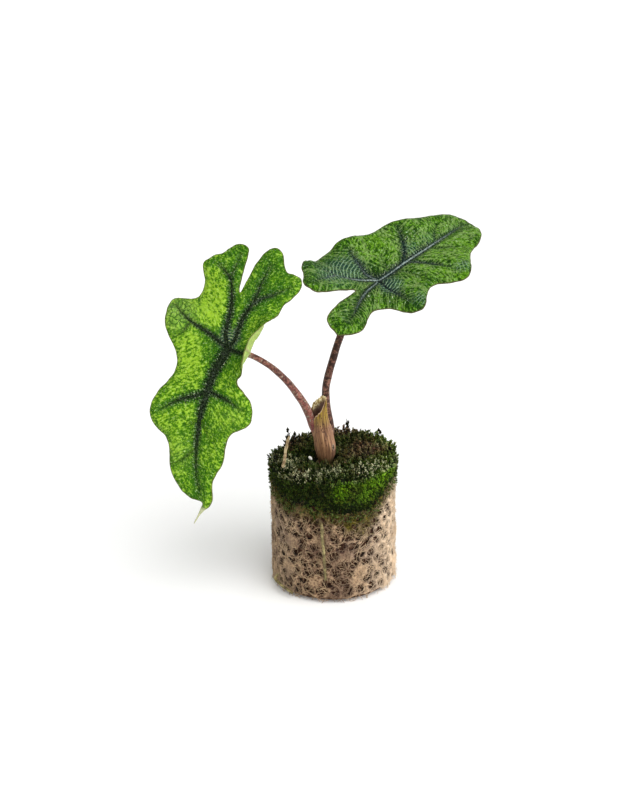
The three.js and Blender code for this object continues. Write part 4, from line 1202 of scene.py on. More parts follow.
# Moss: a dark bed over the top and side of the plug, covered with small leafy shoots
mossMake = {
    # Sprigs that stand above the rest: x, y, turn in radians, height
    "sprigs": [(-11.9, 7.5, 0.4, 6.2), (-12.8, 6.5, 2.1, 3.9), (-10.9, 7.6, 3.7, 3.7), (-5.0, 13.6, 1.0, 2.8),
               (4.2, 15.2, 5.0, 2.4), (13.4, 8.6, 0.2, 2.6), (-15.6, -2.6, 2.2, 2.2), (15.7, -3.4, 4.0, 2.2)],
    "sprigSize": 2.4,
    "top": 36.6,
    "slope": 0.065,
    "sideRadius": 16.85,
    "insideRadius": 16.2,
    "insideTop": 33.9,
    # How low the moss hangs, by degrees round
    "skirt": [(-180, 30.6), (-160, 30.2), (-150, 28.2), (-120, 28.3), (-95, 27.2), (-74, 25.6), (-58, 26.2),
              (-42, 28.6), (-26, 31), (0, 31.4), (60, 31.2), (120, 30.8), (180, 30.6)],
    "columns": 240,
    "topRows": 45,
    "sideRows": 30,
    "stem": (-1.9, -2.1, 1.7),  # x, y and radius of the gap round the sheath
    "dip": (-2.4, -1.6),
    "bare": (-2.4, -1.9),
    # Spots on the top as x, y, radius, strength
    "brown": [(8.5, 4.5, 3.6, 1.0), (13, 0, 2.8, 0.9), (5.5, -1.2, 3.0, 0.7), (-11.2, 8.5, 3.4, 0.8),
              (3.2, 15.6, 4.2, 1.0), (-3, 13, 4, 0.6), (0.5, -6.5, 2.4, 0.5), (-8.4, -10.6, 1.8, 0.8),
              (10, -3, 3, 0.5)],
    "pale": [(-13, -11, 4.0, 1.0), (-8.5, -15, 3.0, 1.0), (-3.5, -13, 3, 0.65), (0.5, -13, 3, 0.5),
             (9.2, -11.5, 4.0, 1.0), (14, -8.5, 3.0, 0.9), (-11.5, -3, 3.4, 0.7), (-16, 0, 3, 0.5),
             (13, 3, 3, 0.4)],
    # Fresh patches on the side as degrees round, height, breadth in degrees, tallness, strength
    "lush": [(-80, 34.6, 9, 2.2, 1.0), (-84, 32.4, 6, 1.6, 0.9), (-56, 34.4, 10, 2.2, 0.75),
             (-42, 34.5, 9, 3, 0.75), (-29, 34.8, 7, 2.2, 0.6), (-60, 31, 12, 2, 0.45),
             (140, 34, 25, 2.5, 0.5), (40, 34, 20, 2.5, 0.5)],
    "felt": {"radius": 17.2, "lowest": -4.2, "highest": 0.6, "columns": 240, "rows": 22},
}
shootMake = {
    "top": {"spacing": 0.78, "smallest": 0.75, "largest": 1.35, "lean": 0.6, "seed": 21},
    "side": {"spacing": 0.6, "smallest": 0.5, "largest": 1.0, "lean": 0.8, "seed": 22},
    "rim": {"spacing": 1.5, "smallest": 0.9, "largest": 1.6, "lean": 0.6, "seed": 23},
    "felt": {"spacing": 0.62, "smallest": 0.4, "largest": 0.8, "lean": 1.1, "seed": 24},
}


def skirtAt(degrees):
    return np.interp(degrees, *zip(*mossMake["skirt"]))


def mossTop(x, y):
    fromStem = np.hypot(x - mossMake["dip"][0], y - mossMake["dip"][1])
    return mossMake["top"] + mossMake["slope"] * x - 0.9 * hump(fromStem, 0, 5.5)


def fromBare(points):
    # Distance from the middle of the bare ground round the sheath
    return np.hypot(points[:, 0] - mossMake["bare"][0], points[:, 1] - mossMake["bare"][1])


def cushions(x, y, z):
    return (np.sin(1.5 * x + 0.9 * y + 0.4 * z) * np.sin(1.4 * y - 0.7 * x + 1.3 * z + 0.8)
            + 0.5 * np.sin(2.3 * x - 1.1 * y + 2.1 * z + 2) * np.sin(2.5 * y + 0.6 * x))


def mossBed():
    # Rows from the stem out to the rim, down the side, and back inside
    columns = mossMake["columns"]
    angle = np.arange(columns) / columns * 2 * np.pi
    cx, cy, inner = mossMake["stem"]
    rim = mossMake["sideRadius"]
    skirt = skirtAt((np.degrees(angle) + 180) % 360 - 180)
    skirt = skirt + 0.5 * np.sin(9 * angle) + 0.4 * np.sin(23 * angle + 1) + 0.3 * np.sin(43 * angle + 2)
    rows = []
    for share in [0.0, *np.linspace(0.03, 0.985, mossMake["topRows"] - 1)]:
        radius = inner + (rim - inner) * share
        x = radius * np.cos(angle) + cx * (1 - share)
        y = radius * np.sin(angle) + cy * (1 - share)
        swell = 0.4 * cushions(x, y, 0) * min(1, 0.3 + 4 * share)
        pit = 1.9 * hump(share, 0, 0.1)
        shoulder = 0.5 * smooth(share, 0.9, 1.0)
        rows.append(np.column_stack([x, y, mossTop(x, y) + 1.5 * swell - pit - shoulder]))
    x, y = rim * np.cos(angle), rim * np.sin(angle)
    for share in np.linspace(0.03, 1, mossMake["sideRows"]):
        top = mossTop(x, y) - 0.7
        z = top + (skirt - top) * share
        radius = rim + 0.25 - 0.1 * share - 0.75 * smooth(share, 0.86, 1.0)
        rows.append(polar(radius + 0.34 * cushions(x, y, z) * (1.1 - share), angle, z))
    upperCount = len(rows) * columns
    rows += [polar(mossMake["insideRadius"], angle, skirt + 0.3),
             polar(mossMake["insideRadius"], angle, mossMake["insideTop"]),
             polar(inner, angle, mossMake["insideTop"]) + (cx, cy, 0)]
    points = np.vstack(rows)
    fine = 0.16 * waves(points, 1.3, 31) + 0.1 * waves(points, 0.7, 32)
    fine[upperCount:] = 0
    fine[:columns] = 0
    onSide = np.arange(len(points)) >= mossMake["topRows"] * columns
    heading = np.where(onSide[:, None], unit(points * (1, 1, 0)), (0, 0, 1))
    # The last row joins the first
    faces = gridFaces(len(rows) + 1, columns)[:, [0, 3, 2, 1]] % len(points)
    return points + heading * fine[:, None], faces, onSide, upperCount


def shootShape(seed, height, leaflets, spread):
    # One moss shoot: a thin stem with keeled leaflets set spirally up it
    random = np.random.default_rng(seed)
    lean = random.uniform(-0.12, 0.12, 2)
    stops = [(0, 0, -0.25), (lean[0], lean[1], height * 0.5), (lean[0] * 3, lean[1] * 3, height * 0.92)]
    line, run = curveThrough(stops, 0.6)
    stem, stemFaces, _ = tube(line, run, lambda t, angle: 0.07 * (1 - 0.5 * t), 3)
    parts = [(stem, stemFaces, np.full((len(stem), 2), 0.1))]
    for n in range(leaflets):
        share = (n + 0.5) / leaflets
        turn = n * 2.4 + random.uniform(-0.3, 0.3)
        rise = math.radians(8 + 60 * share + random.uniform(-12, 12))
        length = (0.8 - 0.3 * share) * random.uniform(0.8, 1.15) * spread
        width = 0.2 * random.uniform(0.8, 1.2)
        away = np.array([math.cos(turn), math.sin(turn), 0])
        beside = np.array([-away[1], away[0], 0])
        heading = away * math.cos(rise) + np.array([0, 0, math.sin(rise)])
        top = np.cross(heading, beside)
        root = np.array([lean[0] * 3 * share, lean[1] * 3 * share, 0.12 + height * 0.8 * share])
        middle = root + heading * length * 0.45 + top * -0.05
        points = np.array([root, middle + beside * width + top * 0.06, middle - beside * width + top * 0.06,
                           root + heading * length + np.array([0, 0, 0.1 + 0.1 * share])])
        faces = np.array([(0, 1, 2), (1, 3, 2), (0, 3, 1), (0, 2, 3)])
        if np.linalg.det(points[1:] - points[0]) > 0:
            faces = faces[:, ::-1]
        values = np.column_stack([[0.15, 0.55, 0.55, 1.0], np.full(4, random.random())])
        parts.append((points, faces, values))
    points, faces, values = joined(parts)
    return points, faces, {"tip": values[:, 0], "leaflet": values[:, 1]}


# root: near black, painted shade at the foot of the shoots deep in the cushion
mossLook = {"deep": "#1d3008", "green": "#5f8220", "lush": "#a4ec20", "brown": "#3f2c18", "tan": "#b8946c",
            "root": "#030501", "pale": "#fbf8c8"}


def mossFinish(name, look):
    # Living moss: thin moist leaflets, dark in the depth of the cushion and lit at their tips
    finish, add, feed = newFinish(name, Roughness=0.6, IOR=1.4, Specular_IOR_Level=0.12,
                                  Subsurface_Weight=0.05, Subsurface_Scale=0.0003)
    read = {key: add("Attribute", out="Fac", attribute_name=key)
            for key in ("tip", "leaflet", "chance", "pale", "brown", "lush")}
    patch = add("noise", objectMillimetres(add), 0.22, 3.0)
    luck = add("timesPlus", read["leaflet"], 0.5, add("times", read["chance"], 0.5))
    fresh = add("times", add("range", luck, 0.3, 0.8), add("range", patch, 0.38, 0.6, 0.3, 1.0))
    green = add("blend", fresh, look["deep"], look["green"])
    lush = add("times", read["lush"], add("range", luck, 0.25, 0.65, 0.15, 1.0))
    green = add("blend", lush, green, look["lush"])
    dead = add("blend", add("range", luck, 0.35, 0.8), look["brown"], look["tan"])
    green = add("blend", read["brown"], green, dead)
    # Near black at the foot of each shoot and on the bed between them: painted shade in the depth of the
    # cushion
    colour = add("blend", add("range", read["tip"], 0.25, 0.85), look["root"], green)
    pale = add("times", add("range", luck, 0.52, 0.6), add("range", read["pale"], 0.1, 0.7))
    pale = add("times", add("range", read["tip"], 0.35, 0.8), pale)
    feed(Base_Color=add("blend", pale, colour, look["pale"]))
    return finish


def mossCover(points, onSide, upper):
    # What the bed carries for its finish and for the shoots on it
    degrees, height = degreesRound(points), points[:, 2]
    aboveSkirt = height - skirtAt(degrees)
    fromAxis = np.hypot(points[:, 0], points[:, 1])
    lush = sum(strength * hump(degrees, a, wide) * hump(height, z, tall)
               for a, z, wide, tall, strength in mossMake["lush"])
    brown = np.clip(blobs(points, mossMake["brown"]), 0, 1)
    brownSide = 0.35 * smooth(-aboveSkirt, -1.2, 0.2) + 0.55 * hump(degrees, -72, 5) * hump(height, 33.7, 1.1)
    pale = np.clip(blobs(points, mossMake["pale"]), 0.16, 1)
    grows = smooth(fromBare(points), 3.0, 4.0) * (1 - 0.5 * brown)
    outward = unit(points * (1, 1, 0))
    inward = outward * 0.25 * smooth(fromAxis, 14.5, 17.6)[:, None]
    return {
        "coverTop": np.where(upper & ~onSide, grows, 0),
        "coverSide": np.where(upper & onSide, 0.45 + 0.55 * smooth(aboveSkirt, 0.2, 2.5), 0),
        "coverRim": np.where(upper, hump(height, 36.2, 1.2) * smooth(fromAxis, 15.5, 17.2), 0),
        "growth": unit(np.where(onSide[:, None], outward + (0, 0, 0.8), inward + (0, 0, 1))),
        "pale": np.where(onSide, 0.3 * smooth(height, 35.2, 36.8) + 0.12, pale),
        "brown": np.where(onSide, np.clip(brownSide, 0, 1), brown),
        "lush": np.where(onSide, np.clip(lush, 0, 1), 0.25 * smooth(points[:, 0], 6, 16)),
        "tip": np.full(len(points), 0.3),
        "leaflet": np.full(len(points), 0.4),
        "chance": np.clip(0.5 + 0.5 * waves(points, 0.9, 8), 0, 1),
    }


def makeSprigs(finish):
    # A few shoots that stand above the rest
    size = mossMake["sprigSize"]
    parts = []
    for n, (x, y, turn, stands) in enumerate(mossMake["sprigs"]):
        points, faces, tips = shootShape(30 + n, stands / size, 8, 0.8)
        c, s = math.cos(turn), math.sin(turn)
        spin = np.array([(c, s, 0), (-s, c, 0), (0, 0, 1)])
        parts.append(((points * size) @ spin + (x, y, mossTop(x, y) + 0.4), faces, tips["tip"] * 0.75))
    points, faces, tip = joined(parts)
    zero = np.zeros(len(points))
    keepPiece(meshObject("moss_sprigs", points, faces, (finish,), {
        "tip": tip, "leaflet": zero + 0.3, "chance": zero + 0.3, "pale": zero, "brown": zero + 0.35,
        "lush": zero}), "moss")


def creepOverFelt(shapes, finish):
    # Where the moss thins out it creeps over the felt in ones and twos
    felt = mossMake["felt"]
    turn, drop = np.meshgrid(np.linspace(-np.pi, np.pi, felt["columns"]),
                             np.linspace(felt["lowest"], felt["highest"], felt["rows"]))
    onFelt = polar(felt["radius"], turn, skirtAt(np.degrees(turn)) + drop)
    creeping = smooth(drop.ravel() + 1.5 * waves(onFelt, 3.2, 27), -3.6, 0.2) ** 2
    zero = np.zeros(len(onFelt))
    faces = gridFaces(felt["rows"], felt["columns"], around=False)
    strip = meshObject("carrier", onFelt, faces, (), {
        "coverFelt": creeping, "growth": unit(onFelt * (1, 1, 0)) + (0, 0, 0.3), "pale": zero + 0.2,
        "brown": zero + 0.12, "lush": zero + 0.2})
    keepPiece(scatter("moss_shoots_felt", strip, shapes, finish, shootMake["felt"], "coverFelt"), "moss")
    bpy.data.objects.remove(strip)


def makeMoss():
    points, faces, onSide, upperCount = mossBed()
    attributes = mossCover(points, onSide, np.arange(len(points)) < upperCount)
    finish = mossFinish("livingMoss", mossLook)
    bed = meshObject("moss_bed", points, faces, (finish,), attributes)
    tall = shapeSet("mossTall", [shootShape(seed, 1.15, 13, 0.95) for seed in (1, 2, 3)])
    low = shapeSet("mossLow", [shootShape(seed, 0.75, 11, 0.9) for seed in (4, 5, 6)])
    for kind, shapes in (("top", tall), ("side", low), ("rim", tall)):
        name, cover = f"moss_shoots_{kind}", "cover" + kind.title()
        keepPiece(scatter(name, bed, shapes, finish, shootMake[kind], cover), "moss")
    makeSprigs(finish)
    for key in ("coverTop", "coverSide", "coverRim", "growth"):
        bed.data.attributes.remove(bed.data.attributes[key])
    keepPiece(bed, "moss", "moss")
    creepOverFelt(low, finish)
    clearShapes(tall)
    clearShapes(low)


makeMoss()


# Plug: the fibre sleeve with its punched holes, the growing medium inside it, and the roots
sleeveMake = {
    "radius": 16.8,
    "wall": 0.8,
    "foot": 1.5,
    "top": 32.4,
    "around": 29,
    "rows": 11,
    "lowest": 3.2,
    "rowPitch": 2.7,
    "holeWide": 2.55,
    "holeTall": 2.35,
    "grownOver": 0.1,  # share of the holes closed over by felt
    "seamGap": 1.3,
    "pointSpacing": 0.4,
    "web": 0.75,  # how far the felt swells between the holes
}
sleeveLook = {
    "felt": [(0.34, "#1a0f0a"), (0.45, "#4e3729"), (0.54, "#896a53"), (0.66, "#cbad8a")],
    "fibre": "#dcbf98",
    # Broad patches of painted shade
    "overlay": "#5b433b",
    # Pale felt: dried out, and painted light on the side the light falls on
    "paleAndLit": "#fde6c8",
    "algaeDeep": "#131603",
    "algae": "#85781c",
}
fibreMake = {
    "long": {"spacing": 0.68, "smallest": 0.7, "largest": 1.4, "lean": 0.12, "seed": 31},
    "fuzz": {"spacing": 0.72, "smallest": 0.6, "largest": 1.3, "lean": 0.7, "seed": 32},
}


def sleeveHoles(random, girth):
    make = sleeveMake
    pitch = girth / make["around"]
    angles = np.arange(14) / 14 * 2 * np.pi
    loops = []
    for row in range(make["rows"]):
        for column in range(make["around"]):
            grown = random.random() < make["grownOver"]
            across = (column + 0.5 + 0.5 * (row % 2)) * pitch % girth
            middle = np.array([across, make["lowest"] + row * make["rowPitch"]])
            middle += random.uniform(-0.28, 0.28, 2)
            middle[0] = min(max(middle[0], make["seamGap"]), girth - make["seamGap"])
            size = random.uniform(0.74, 1.08)
            oval = 0.2 * np.sin(2 * angles + random.uniform(0, 6))
            radius = 0.5 * size * (1 + oval + 0.12 * random.uniform(-1, 1, 14))
            loop = middle + np.column_stack([make["holeWide"] * radius * np.cos(angles),
                                             make["holeTall"] * radius * np.sin(angles)])
            if not grown:
                loops.append(loop)
    return loops


def rimOf(hole):
    return np.vstack([hole * (1 - t) + np.roll(hole, -1, axis=0) * t for t in (0, 0.25, 0.5, 0.75)])


def onPlug(flat, radius):
    return polar(radius, flat[:, 0] / sleeveMake["radius"] + math.pi / 2, flat[:, 1])


def algaeAt(points):
    # Olive growth on the felt below the moss, most at the front right
    degrees = degreesRound(points)
    reach = 2.7 + 3.4 * hump(degrees, -61, 22) + 1.6 * hump(degrees, -130, 24)
    reach = reach + 0.9 * waves(points, 2.6, 45)
    grown = smooth(points[:, 2] - (skirtAt(degrees) - reach), -1.6, 2.2)
    return grown * (0.75 + 0.25 * waves(points, 3, 41))


def paleAndLitAt(points):
    # Where the felt is pale, both dried out and painted lit: mostly round to the right, the side the light
    # falls on
    degrees = degreesRound(points)
    paleAndLit = hump(degrees, -22, 34) + 0.3 * hump(degrees, -155, 26) + 0.25 * hump(degrees, 95, 40)
    return np.clip(paleAndLit * (0.85 + 0.2 * waves(points, 4, 44)), 0, 1)


def sleeveFinish(name, look):
    # Nonwoven wood and coir felt: matt, mottled tan and brown, greened by algae near the moss, with painted
    # shade in broad patches and round the holes, and painted light on its right side
    finish, add, feed = newFinish(name, Roughness=0.92, IOR=1.45, Specular_IOR_Level=0.15)
    algae, height, chance, paleAndLit = (add("Attribute", out="Fac", attribute_name=key)
                                  for key in ("algae", "webHeight", "chance", "paleAndLit"))
    place = objectMillimetres(add)
    fine = add("noise", place, 1.7, 5.0, 0.7)
    broad = add("noise", place, 0.2, 2.0)
    # Felt darker where it dips round the holes: painted shade
    raised = add("plus", fine, add("range", height, 0.0, 1.0, -0.24, 0.1))
    colour = add("ramp", raised, stops=look["felt"])
    green = add("blend", add("range", fine, 0.4, 0.7), look["algaeDeep"], look["algae"])
    for overlay, strength in (
            (look["fibre"], add("range", chance, 0.2, 0.9, 0.0, 0.85)),
            # Broad darker patches: painted shade
            (look["overlay"], add("range", broad, 0.42, 0.62, 0.0, 0.55)),
            # Pale felt: dried out, and painted light on the raised felt and round to the right
            (look["paleAndLit"], add("times", paleAndLit, add("range", height, 0.1, 0.8, 0.1, 0.85))),
            (green, add("range", algae, 0.0, 0.9, 0.0, 0.95))):
        colour = add("blend", strength, colour, overlay)
    feed(Base_Color=colour, Normal=add("Bump", {"Strength": 0.8, "Distance": 0.0003, "Height": fine}))
    return finish


def fibreShapes(name, lengths, thickness, curl, lift):
    shapes = []
    for n, length in enumerate(lengths):
        random = np.random.default_rng(60 + n)
        count = 5
        x = np.linspace(-length / 2, length / 2, count)
        y = np.cumsum(random.uniform(-curl, curl, count))
        z = 0.12 + lift * np.linspace(0, 1, count) ** 2 - x * x / (2 * sleeveMake["radius"]) * 0.5
        z = z + random.uniform(-0.03, 0.06, count)
        line, run = curveThrough(np.column_stack([x, y - y.mean(), z]), length / 5)
        points, faces, _ = tube(line, run, lambda t, angle: thickness * (1 - 0.4 * t), 3)
        shapes.append((points, faces, {}))
    return shapeSet(name, shapes)


def sleeveSheet():
    # The sleeve laid out flat: its points, its triangles and each point's distance from a hole
    random = np.random.default_rng(17)
    girth = 2 * math.pi * sleeveMake["radius"]
    gap = sleeveMake["pointSpacing"]
    holes = sleeveHoles(random, girth)
    low, high = sleeveMake["foot"], sleeveMake["top"]
    across = np.linspace(0, girth, round(girth / gap) + 1)
    upward = np.linspace(low, high, round((high - low) / gap) + 1)
    ragged = 0.45 * np.sin(across * 2 * np.pi / girth * 11) * np.sin(across * 2 * np.pi / girth * 4 + 1)
    outline = np.vstack([
        np.column_stack([across, low + ragged]),
        np.column_stack([np.full(len(upward) - 2, girth), upward[1:-1]]),
        np.column_stack([across[::-1], np.full(len(across), high)]),
        np.column_stack([np.zeros(len(upward) - 2), upward[-2:0:-1]]),
    ])
    rows = np.arange(low + 0.6, high - gap * 0.5, gap * 0.866)
    inner = np.array([(x, y) for n, y in enumerate(rows)
                      for x in np.arange(gap * (0.7 + 0.5 * (n % 2)), girth - gap * 0.5, gap)])
    inner = inner + random.uniform(-0.05, 0.05, inner.shape)
    keep = np.ones(len(inner), bool)
    for hole in holes:
        near = np.flatnonzero(np.abs(inner - hole.mean(axis=0)).max(axis=1) < 3)
        edge = nearestOn(inner[near], rimOf(hole))[0]
        keep[near[insideLoop(inner[near], hole) | (edge < gap * 0.45)]] = False
    flat, triangles = fillOutline(outline, inner[keep], holes)
    holeGap = np.full(len(flat), 9.0)
    for hole in holes:
        near = np.flatnonzero(np.abs(flat - hole.mean(axis=0)).max(axis=1) < 4)
        holeGap[near] = np.minimum(holeGap[near], nearestOn(flat[near], rimOf(hole))[0])
    return flat, triangles, holeGap


def weldSeam(sleeve):
    # Close the strip's ends: their points meet, and the walls between them go
    shell = bmesh.new()
    shell.from_mesh(sleeve.data)
    seam = [v for v in shell.verts if abs(v.co.x) < 2e-5 and v.co.y > 0]
    bmesh.ops.remove_doubles(shell, verts=seam, dist=2e-6)
    inside = [f for f in shell.faces if all(abs(v.co.x) < 2e-5 and v.co.y > 0 for v in f.verts)]
    bmesh.ops.delete(shell, geom=inside, context="FACES_ONLY")
    shell.to_mesh(sleeve.data)
    shell.free()


def makeSleeve():
    flat, triangles, holeGap = sleeveSheet()
    # The two ends of the strip meet, so relief there comes from the rolled-up place
    rolled = onPlug(flat, sleeveMake["radius"])
    web = smooth(holeGap, 0.0, 0.7)
    relief = sleeveMake["web"] * (web - 0.6) + 0.2 * waves(rolled, 2.2, 42) + 0.14 * waves(rolled, 1.0, 43)
    hidden = smooth(rolled[:, 2] - skirtAt(degreesRound(rolled)), -0.6, 0.8)
    relief = relief * (1 - hidden) - 0.75 * hidden
    outer = onPlug(flat, sleeveMake["radius"] + relief)
    within = onPlug(flat, sleeveMake["radius"] - sleeveMake["wall"])
    points, faces, _ = thickSheet(triangles, outer, within)
    algae, paleAndLit = algaeAt(rolled), paleAndLitAt(rolled)
    finish = sleeveFinish("coirFelt", sleeveLook)
    sleeve = meshObject("plug_sleeve", points, faces, (finish,), {
        "algae": np.tile(algae, 2), "webHeight": np.tile(web, 2), "chance": np.zeros(2 * len(flat)),
        "paleAndLit": np.tile(paleAndLit, 2)})
    weldSeam(sleeve)
    keepPiece(sleeve, "sleeve", "fibre_sleeve")

    carrier = meshObject("carrier", outer, triangles, (), {
        "cover": (0.45 + 0.55 * web) * (1 - hidden), "growth": unit(rolled * (1, 1, 0)), "algae": algae,
        "webHeight": np.full(len(flat), 1.0), "paleAndLit": paleAndLit})
    for name, kind, form in (
            ("sleeve_fibres", "long", ((2.8, 3.6, 4.4, 5.2, 3.2), 0.075, 0.8, 0.12)),
            ("sleeve_fuzz", "fuzz", ((1.2, 1.5, 1.8, 1.0), 0.045, 0.4, 0.55))):
        shapes = fibreShapes(kind + "Fibre", *form)
        keepPiece(scatter(name, carrier, shapes, finish, fibreMake[kind]), "sleeve")
        clearShapes(shapes)
    bpy.data.objects.remove(carrier)


makeSleeve()

mediumMake = {
    "radius": 15.85,
    "height": 33.6,
    "columns": 220,
    "rows": 70,
    "colours": [(0.32, "#1f120b"), (0.48, "#432c20"), (0.6, "#6b4c3d"), (0.75, "#8f7059")],
}


def makeMedium():
    # A crumbly block, flat below: rings from the middle of the underside up and over the top
    radius, height, columns, rows = (mediumMake[key] for key in ("radius", "height", "columns", "rows"))
    angle = np.arange(columns) / columns * 2 * np.pi
    profile = [(share * (radius - 0.8), 0.0) for share in np.linspace(0.05, 1, 14)]
    profile += [(radius - 0.25, 0.3), (radius, 0.8)]
    profile += [(radius, z) for z in np.linspace(1.3, height - 0.3, rows)]
    profile += [(radius * share, height) for share in np.linspace(0.99, 0.03, 24)]
    points = np.vstack([polar(r, angle, z) for r, z in profile])
    outward = unit(points * (1, 1, 0))
    crumbs = 0.22 * waves(points, 1.7, 51) + 0.14 * waves(points, 0.9, 52)
    points = points + outward * (crumbs[:, None] - 0.1) * smooth(points[:, 2], 0.1, 1.2)[:, None]
    points[:, 2] += np.where(points[:, 2] > height - 0.05, 0.5 * crumbs, 0)
    points = np.vstack([points, [(0, 0, 0)], [(0, 0, height)]])
    # Peat with coir dust: almost black, matt, crumbly
    finish = mottledFinish(
        "peatAndCoir", (1.3, 5.0, 0.7), mediumMake["colours"], strength=1.0, depth=0.5,
        Roughness=0.97, IOR=1.4, Specular_IOR_Level=0.1)
    block = meshObject("peat_block", points, closedRings(len(profile), columns), (finish,))
    keepPiece(block, "medium", "growing_medium")


makeMedium()

rootMake = {
    "radius": 0.5,
    "routes": [
        [(-2.6, -2.2, 30.6), (-4, -8, 28.4), (-3.7, -14, 25), (-3.2, -17.5, 22), (-3, -18, 19),
         (-2.8, -18, 13), (-2.5, -18, 7.6)],
        [(-3.6, -2, 30.2), (-7, -4.6, 21), (-11.6, -6.2, 10), (-14.8, -7, 4.6), (-16.6, -7.9, 3.4),
         (-15.4, -10.2, 2.8), (-13.4, -12.6, 2.3), (-11.6, -14.1, 1.8)],
    ],
    "corm": (-2.4, -1.1),
    # Height and radius of the corm
    "profile": [(28.5, 1.6), (29.4, 2.6), (30.4, 3.0), (31.6, 3.1), (32.8, 2.8), (33.8, 2.5), (34.6, 2.3),
                (35.4, 2.1)],
    "rows": 46,
    "colours": [(0.36, "#4c3f28"), (0.5, "#74693f"), (0.66, "#a89a6a")],
}


def rootRadius(t, angle):
    return rootMake["radius"] * (1.08 - 0.35 * t) * (1 + 0.06 * math.sin(70 * t))


def makeRoots():
    # Young aroid root: smooth, pale tan, a little uneven
    finish = mottledFinish("paleRoot", (0.9, 4.0), rootMake["colours"], strength=0.5, depth=0.1,
                           Roughness=0.6, IOR=1.42)
    parts = []
    for route in rootMake["routes"]:
        line, run = curveThrough(route, 0.35)
        line = line + 0.16 * np.column_stack([waves(line, 5, seed) for seed in (71, 72, 73)])
        parts.append(tube(line, run, rootRadius, 12)[:2])
    # The corm, ringed by the scars of old leaves
    foot, top = rootMake["profile"][0][0], rootMake["profile"][-1][0]
    heights = np.linspace(foot, top, rootMake["rows"])
    axis = np.column_stack([np.tile(rootMake["corm"], (len(heights), 1)), heights])
    sizes = np.interp(heights, *zip(*rootMake["profile"])) + 0.06 * np.sin(heights * 7)
    corm = tube(axis, heights - foot, lambda t, angle: np.interp(foot + t * (top - foot), heights, sizes), 28)
    points, faces = joined(parts + [corm[:2]])
    keepPiece(meshObject("corm_and_roots", points, faces, (finish,)), "corm", "corm_with_roots")


makeRoots()


# What lies on the moss: the dry stalk, a perlite grain and crumbs of peat and bark
litterMake = {
    "stalk": [(-13.6, -9, 37.8), (-13.1, -5, 38.5), (-12.7, -1, 39.8), (-11.9, 2.6, 41.6)],
    "grain": {"place": (-6.1, -3.9, 37.85), "size": (0.68, 0.42, 0.4), "tilt": -38},
    "crumbs": {"spacing": 0.8, "smallest": 0.5, "largest": 1.35, "lean": 1.5, "seed": 61},
    "reach": 17,
    "columns": 90,
    "rows": 26,
    "strawColours": [(0.32, "#5c4730"), (0.5, "#a58d68"), (0.68, "#d8c7a2")],
    "grainColours": [(0.3, "#c9c5ba"), (0.55, "#f2f1ec")],
    "crumbColours": [(0.0, "#1d130d"), (0.5, "#4a3123"), (0.85, "#7d5a44"), (1.0, "#b39274")],
    "crumbStain": "#2a1a12",
}


def ballShape(subdivisions):
    ball = bmesh.new()
    bmesh.ops.create_icosphere(ball, subdivisions=subdivisions, radius=1)
    points = np.array([v.co for v in ball.verts])
    faces = np.array([[v.index for v in f.verts] for f in ball.faces])
    ball.free()
    return points, faces


def makeDryStalk():
    # Dried plant fibre: bundled strands, straw coloured, matt
    finish, add, feed = newFinish("dryStraw", Roughness=0.85, IOR=1.45)
    place = add("Attribute", out="Vector", attribute_name="stalkPlace")
    strands = add("noise", add("stretch", place, (1, 1, 0.25)), 3.0, 3.0)
    feed(Base_Color=add("ramp", strands, stops=litterMake["strawColours"]))
    parts = []
    for n in range(5):
        line, run = curveThrough(litterMake["stalk"], 0.3)
        turn = np.linspace(0, 7, len(line)) + n * 1.256
        still = np.zeros(len(line))
        line = line + 0.22 * np.column_stack([np.cos(turn), still, np.sin(turn)])
        line = line + 0.16 * np.column_stack([waves(line, 2.5, 80 + n), still, waves(line, 2.5, 90 + n)])
        parts.append(tube(line, run, lambda t, angle: 0.24 * (1 - 0.45 * abs(2 * t - 0.9)), 7))
    points, faces, places = joined(parts)
    straw = meshObject("dry_straw", points, faces, (finish,), {"stalkPlace": places})
    keepPiece(straw, "dry_stalk", "dry_stalk")


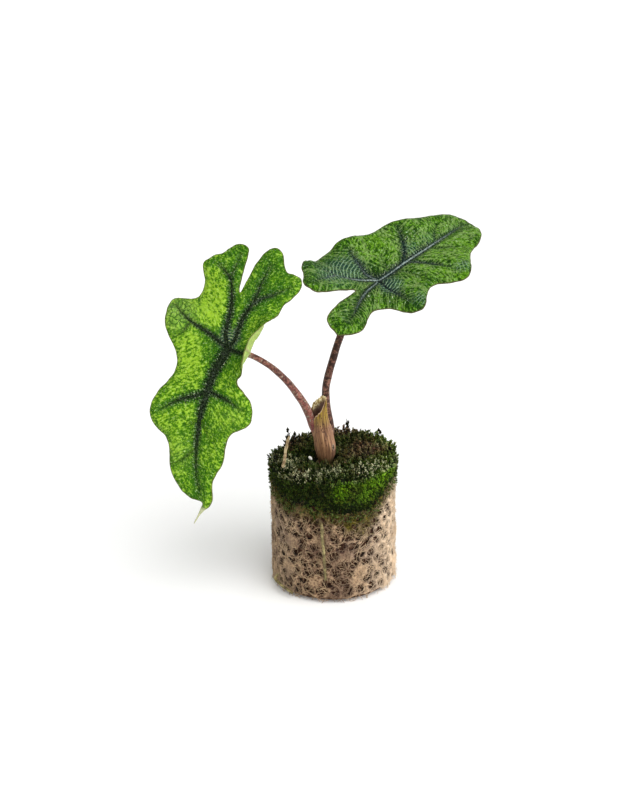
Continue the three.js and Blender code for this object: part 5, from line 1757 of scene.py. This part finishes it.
def makePerlite():
    # Perlite: expanded volcanic glass, white, chalky and pitted
    finish = mottledFinish("perlite", (2.5, 4.0), litterMake["grainColours"], strength=0.6, depth=0.2,
                           Roughness=0.85, IOR=1.5)
    grain = litterMake["grain"]
    points, faces = ballShape(4)
    points = points * (1 + 0.2 * waves(points, 1.5, 95) + 0.06 * waves(points, 0.5, 96))[:, None]
    points = points * grain["size"] @ np.array(Matrix.Rotation(math.radians(grain["tilt"]), 3, "Y"))
    bead = meshObject("perlite_bead", points + grain["place"], faces, (finish,))
    keepPiece(bead, "perlite", "perlite_grain")


def makeCrumbs():
    # Crumbs of bark and coir where the moss is thin: warm brown, matt
    finish, add, feed = newFinish("barkCrumbs", Roughness=0.92, IOR=1.4)
    chance = add("Attribute", out="Fac", attribute_name="chance")
    colour = add("ramp", chance, stops=litterMake["crumbColours"])
    fine = add("noise", objectMillimetres(add), 3.0, 3.0)
    feed(Base_Color=add("blend", fine, colour, litterMake["crumbStain"]))
    crumb, faces = ballShape(1)
    shapes = []
    for n in range(4):
        random = np.random.default_rng(100 + n)
        size = random.uniform(0.25, 0.5, 3)
        shapes.append((crumb * size * random.uniform(0.75, 1.2, (len(crumb), 1)) + (0, 0, 0.2), faces, {}))
    shapes = shapeSet("crumb", shapes)
    columns, rows = litterMake["columns"], litterMake["rows"]
    turn, share = np.meshgrid(np.arange(columns) / columns * 2 * np.pi, np.linspace(0.02, 0.98, rows))
    points = polar(share * litterMake["reach"], turn, 0.0)
    points[:, 2] = mossTop(points[:, 0], points[:, 1]) + 0.35
    fromStem = fromBare(points)
    points[:, 2] -= 1.5 * hump(fromStem, 2.6, 1.2)
    cover = np.clip(np.clip(blobs(points, mossMake["brown"]), 0, 1) + 0.8 * hump(fromStem, 3.4, 1.2), 0, 1)
    carrier = meshObject("carrier", points, gridFaces(rows, columns)[:, [1, 2, 3, 0]], (), {
        "cover": cover * smooth(fromStem, 2.6, 3.0), "growth": np.tile((0.0, 0, 1), (len(points), 1))})
    keepPiece(scatter("bark_crumbs", carrier, shapes, finish, litterMake["crumbs"]), "medium")
    bpy.data.objects.remove(carrier)
    clearShapes(shapes)


makeDryStalk()
makePerlite()
makeCrumbs()
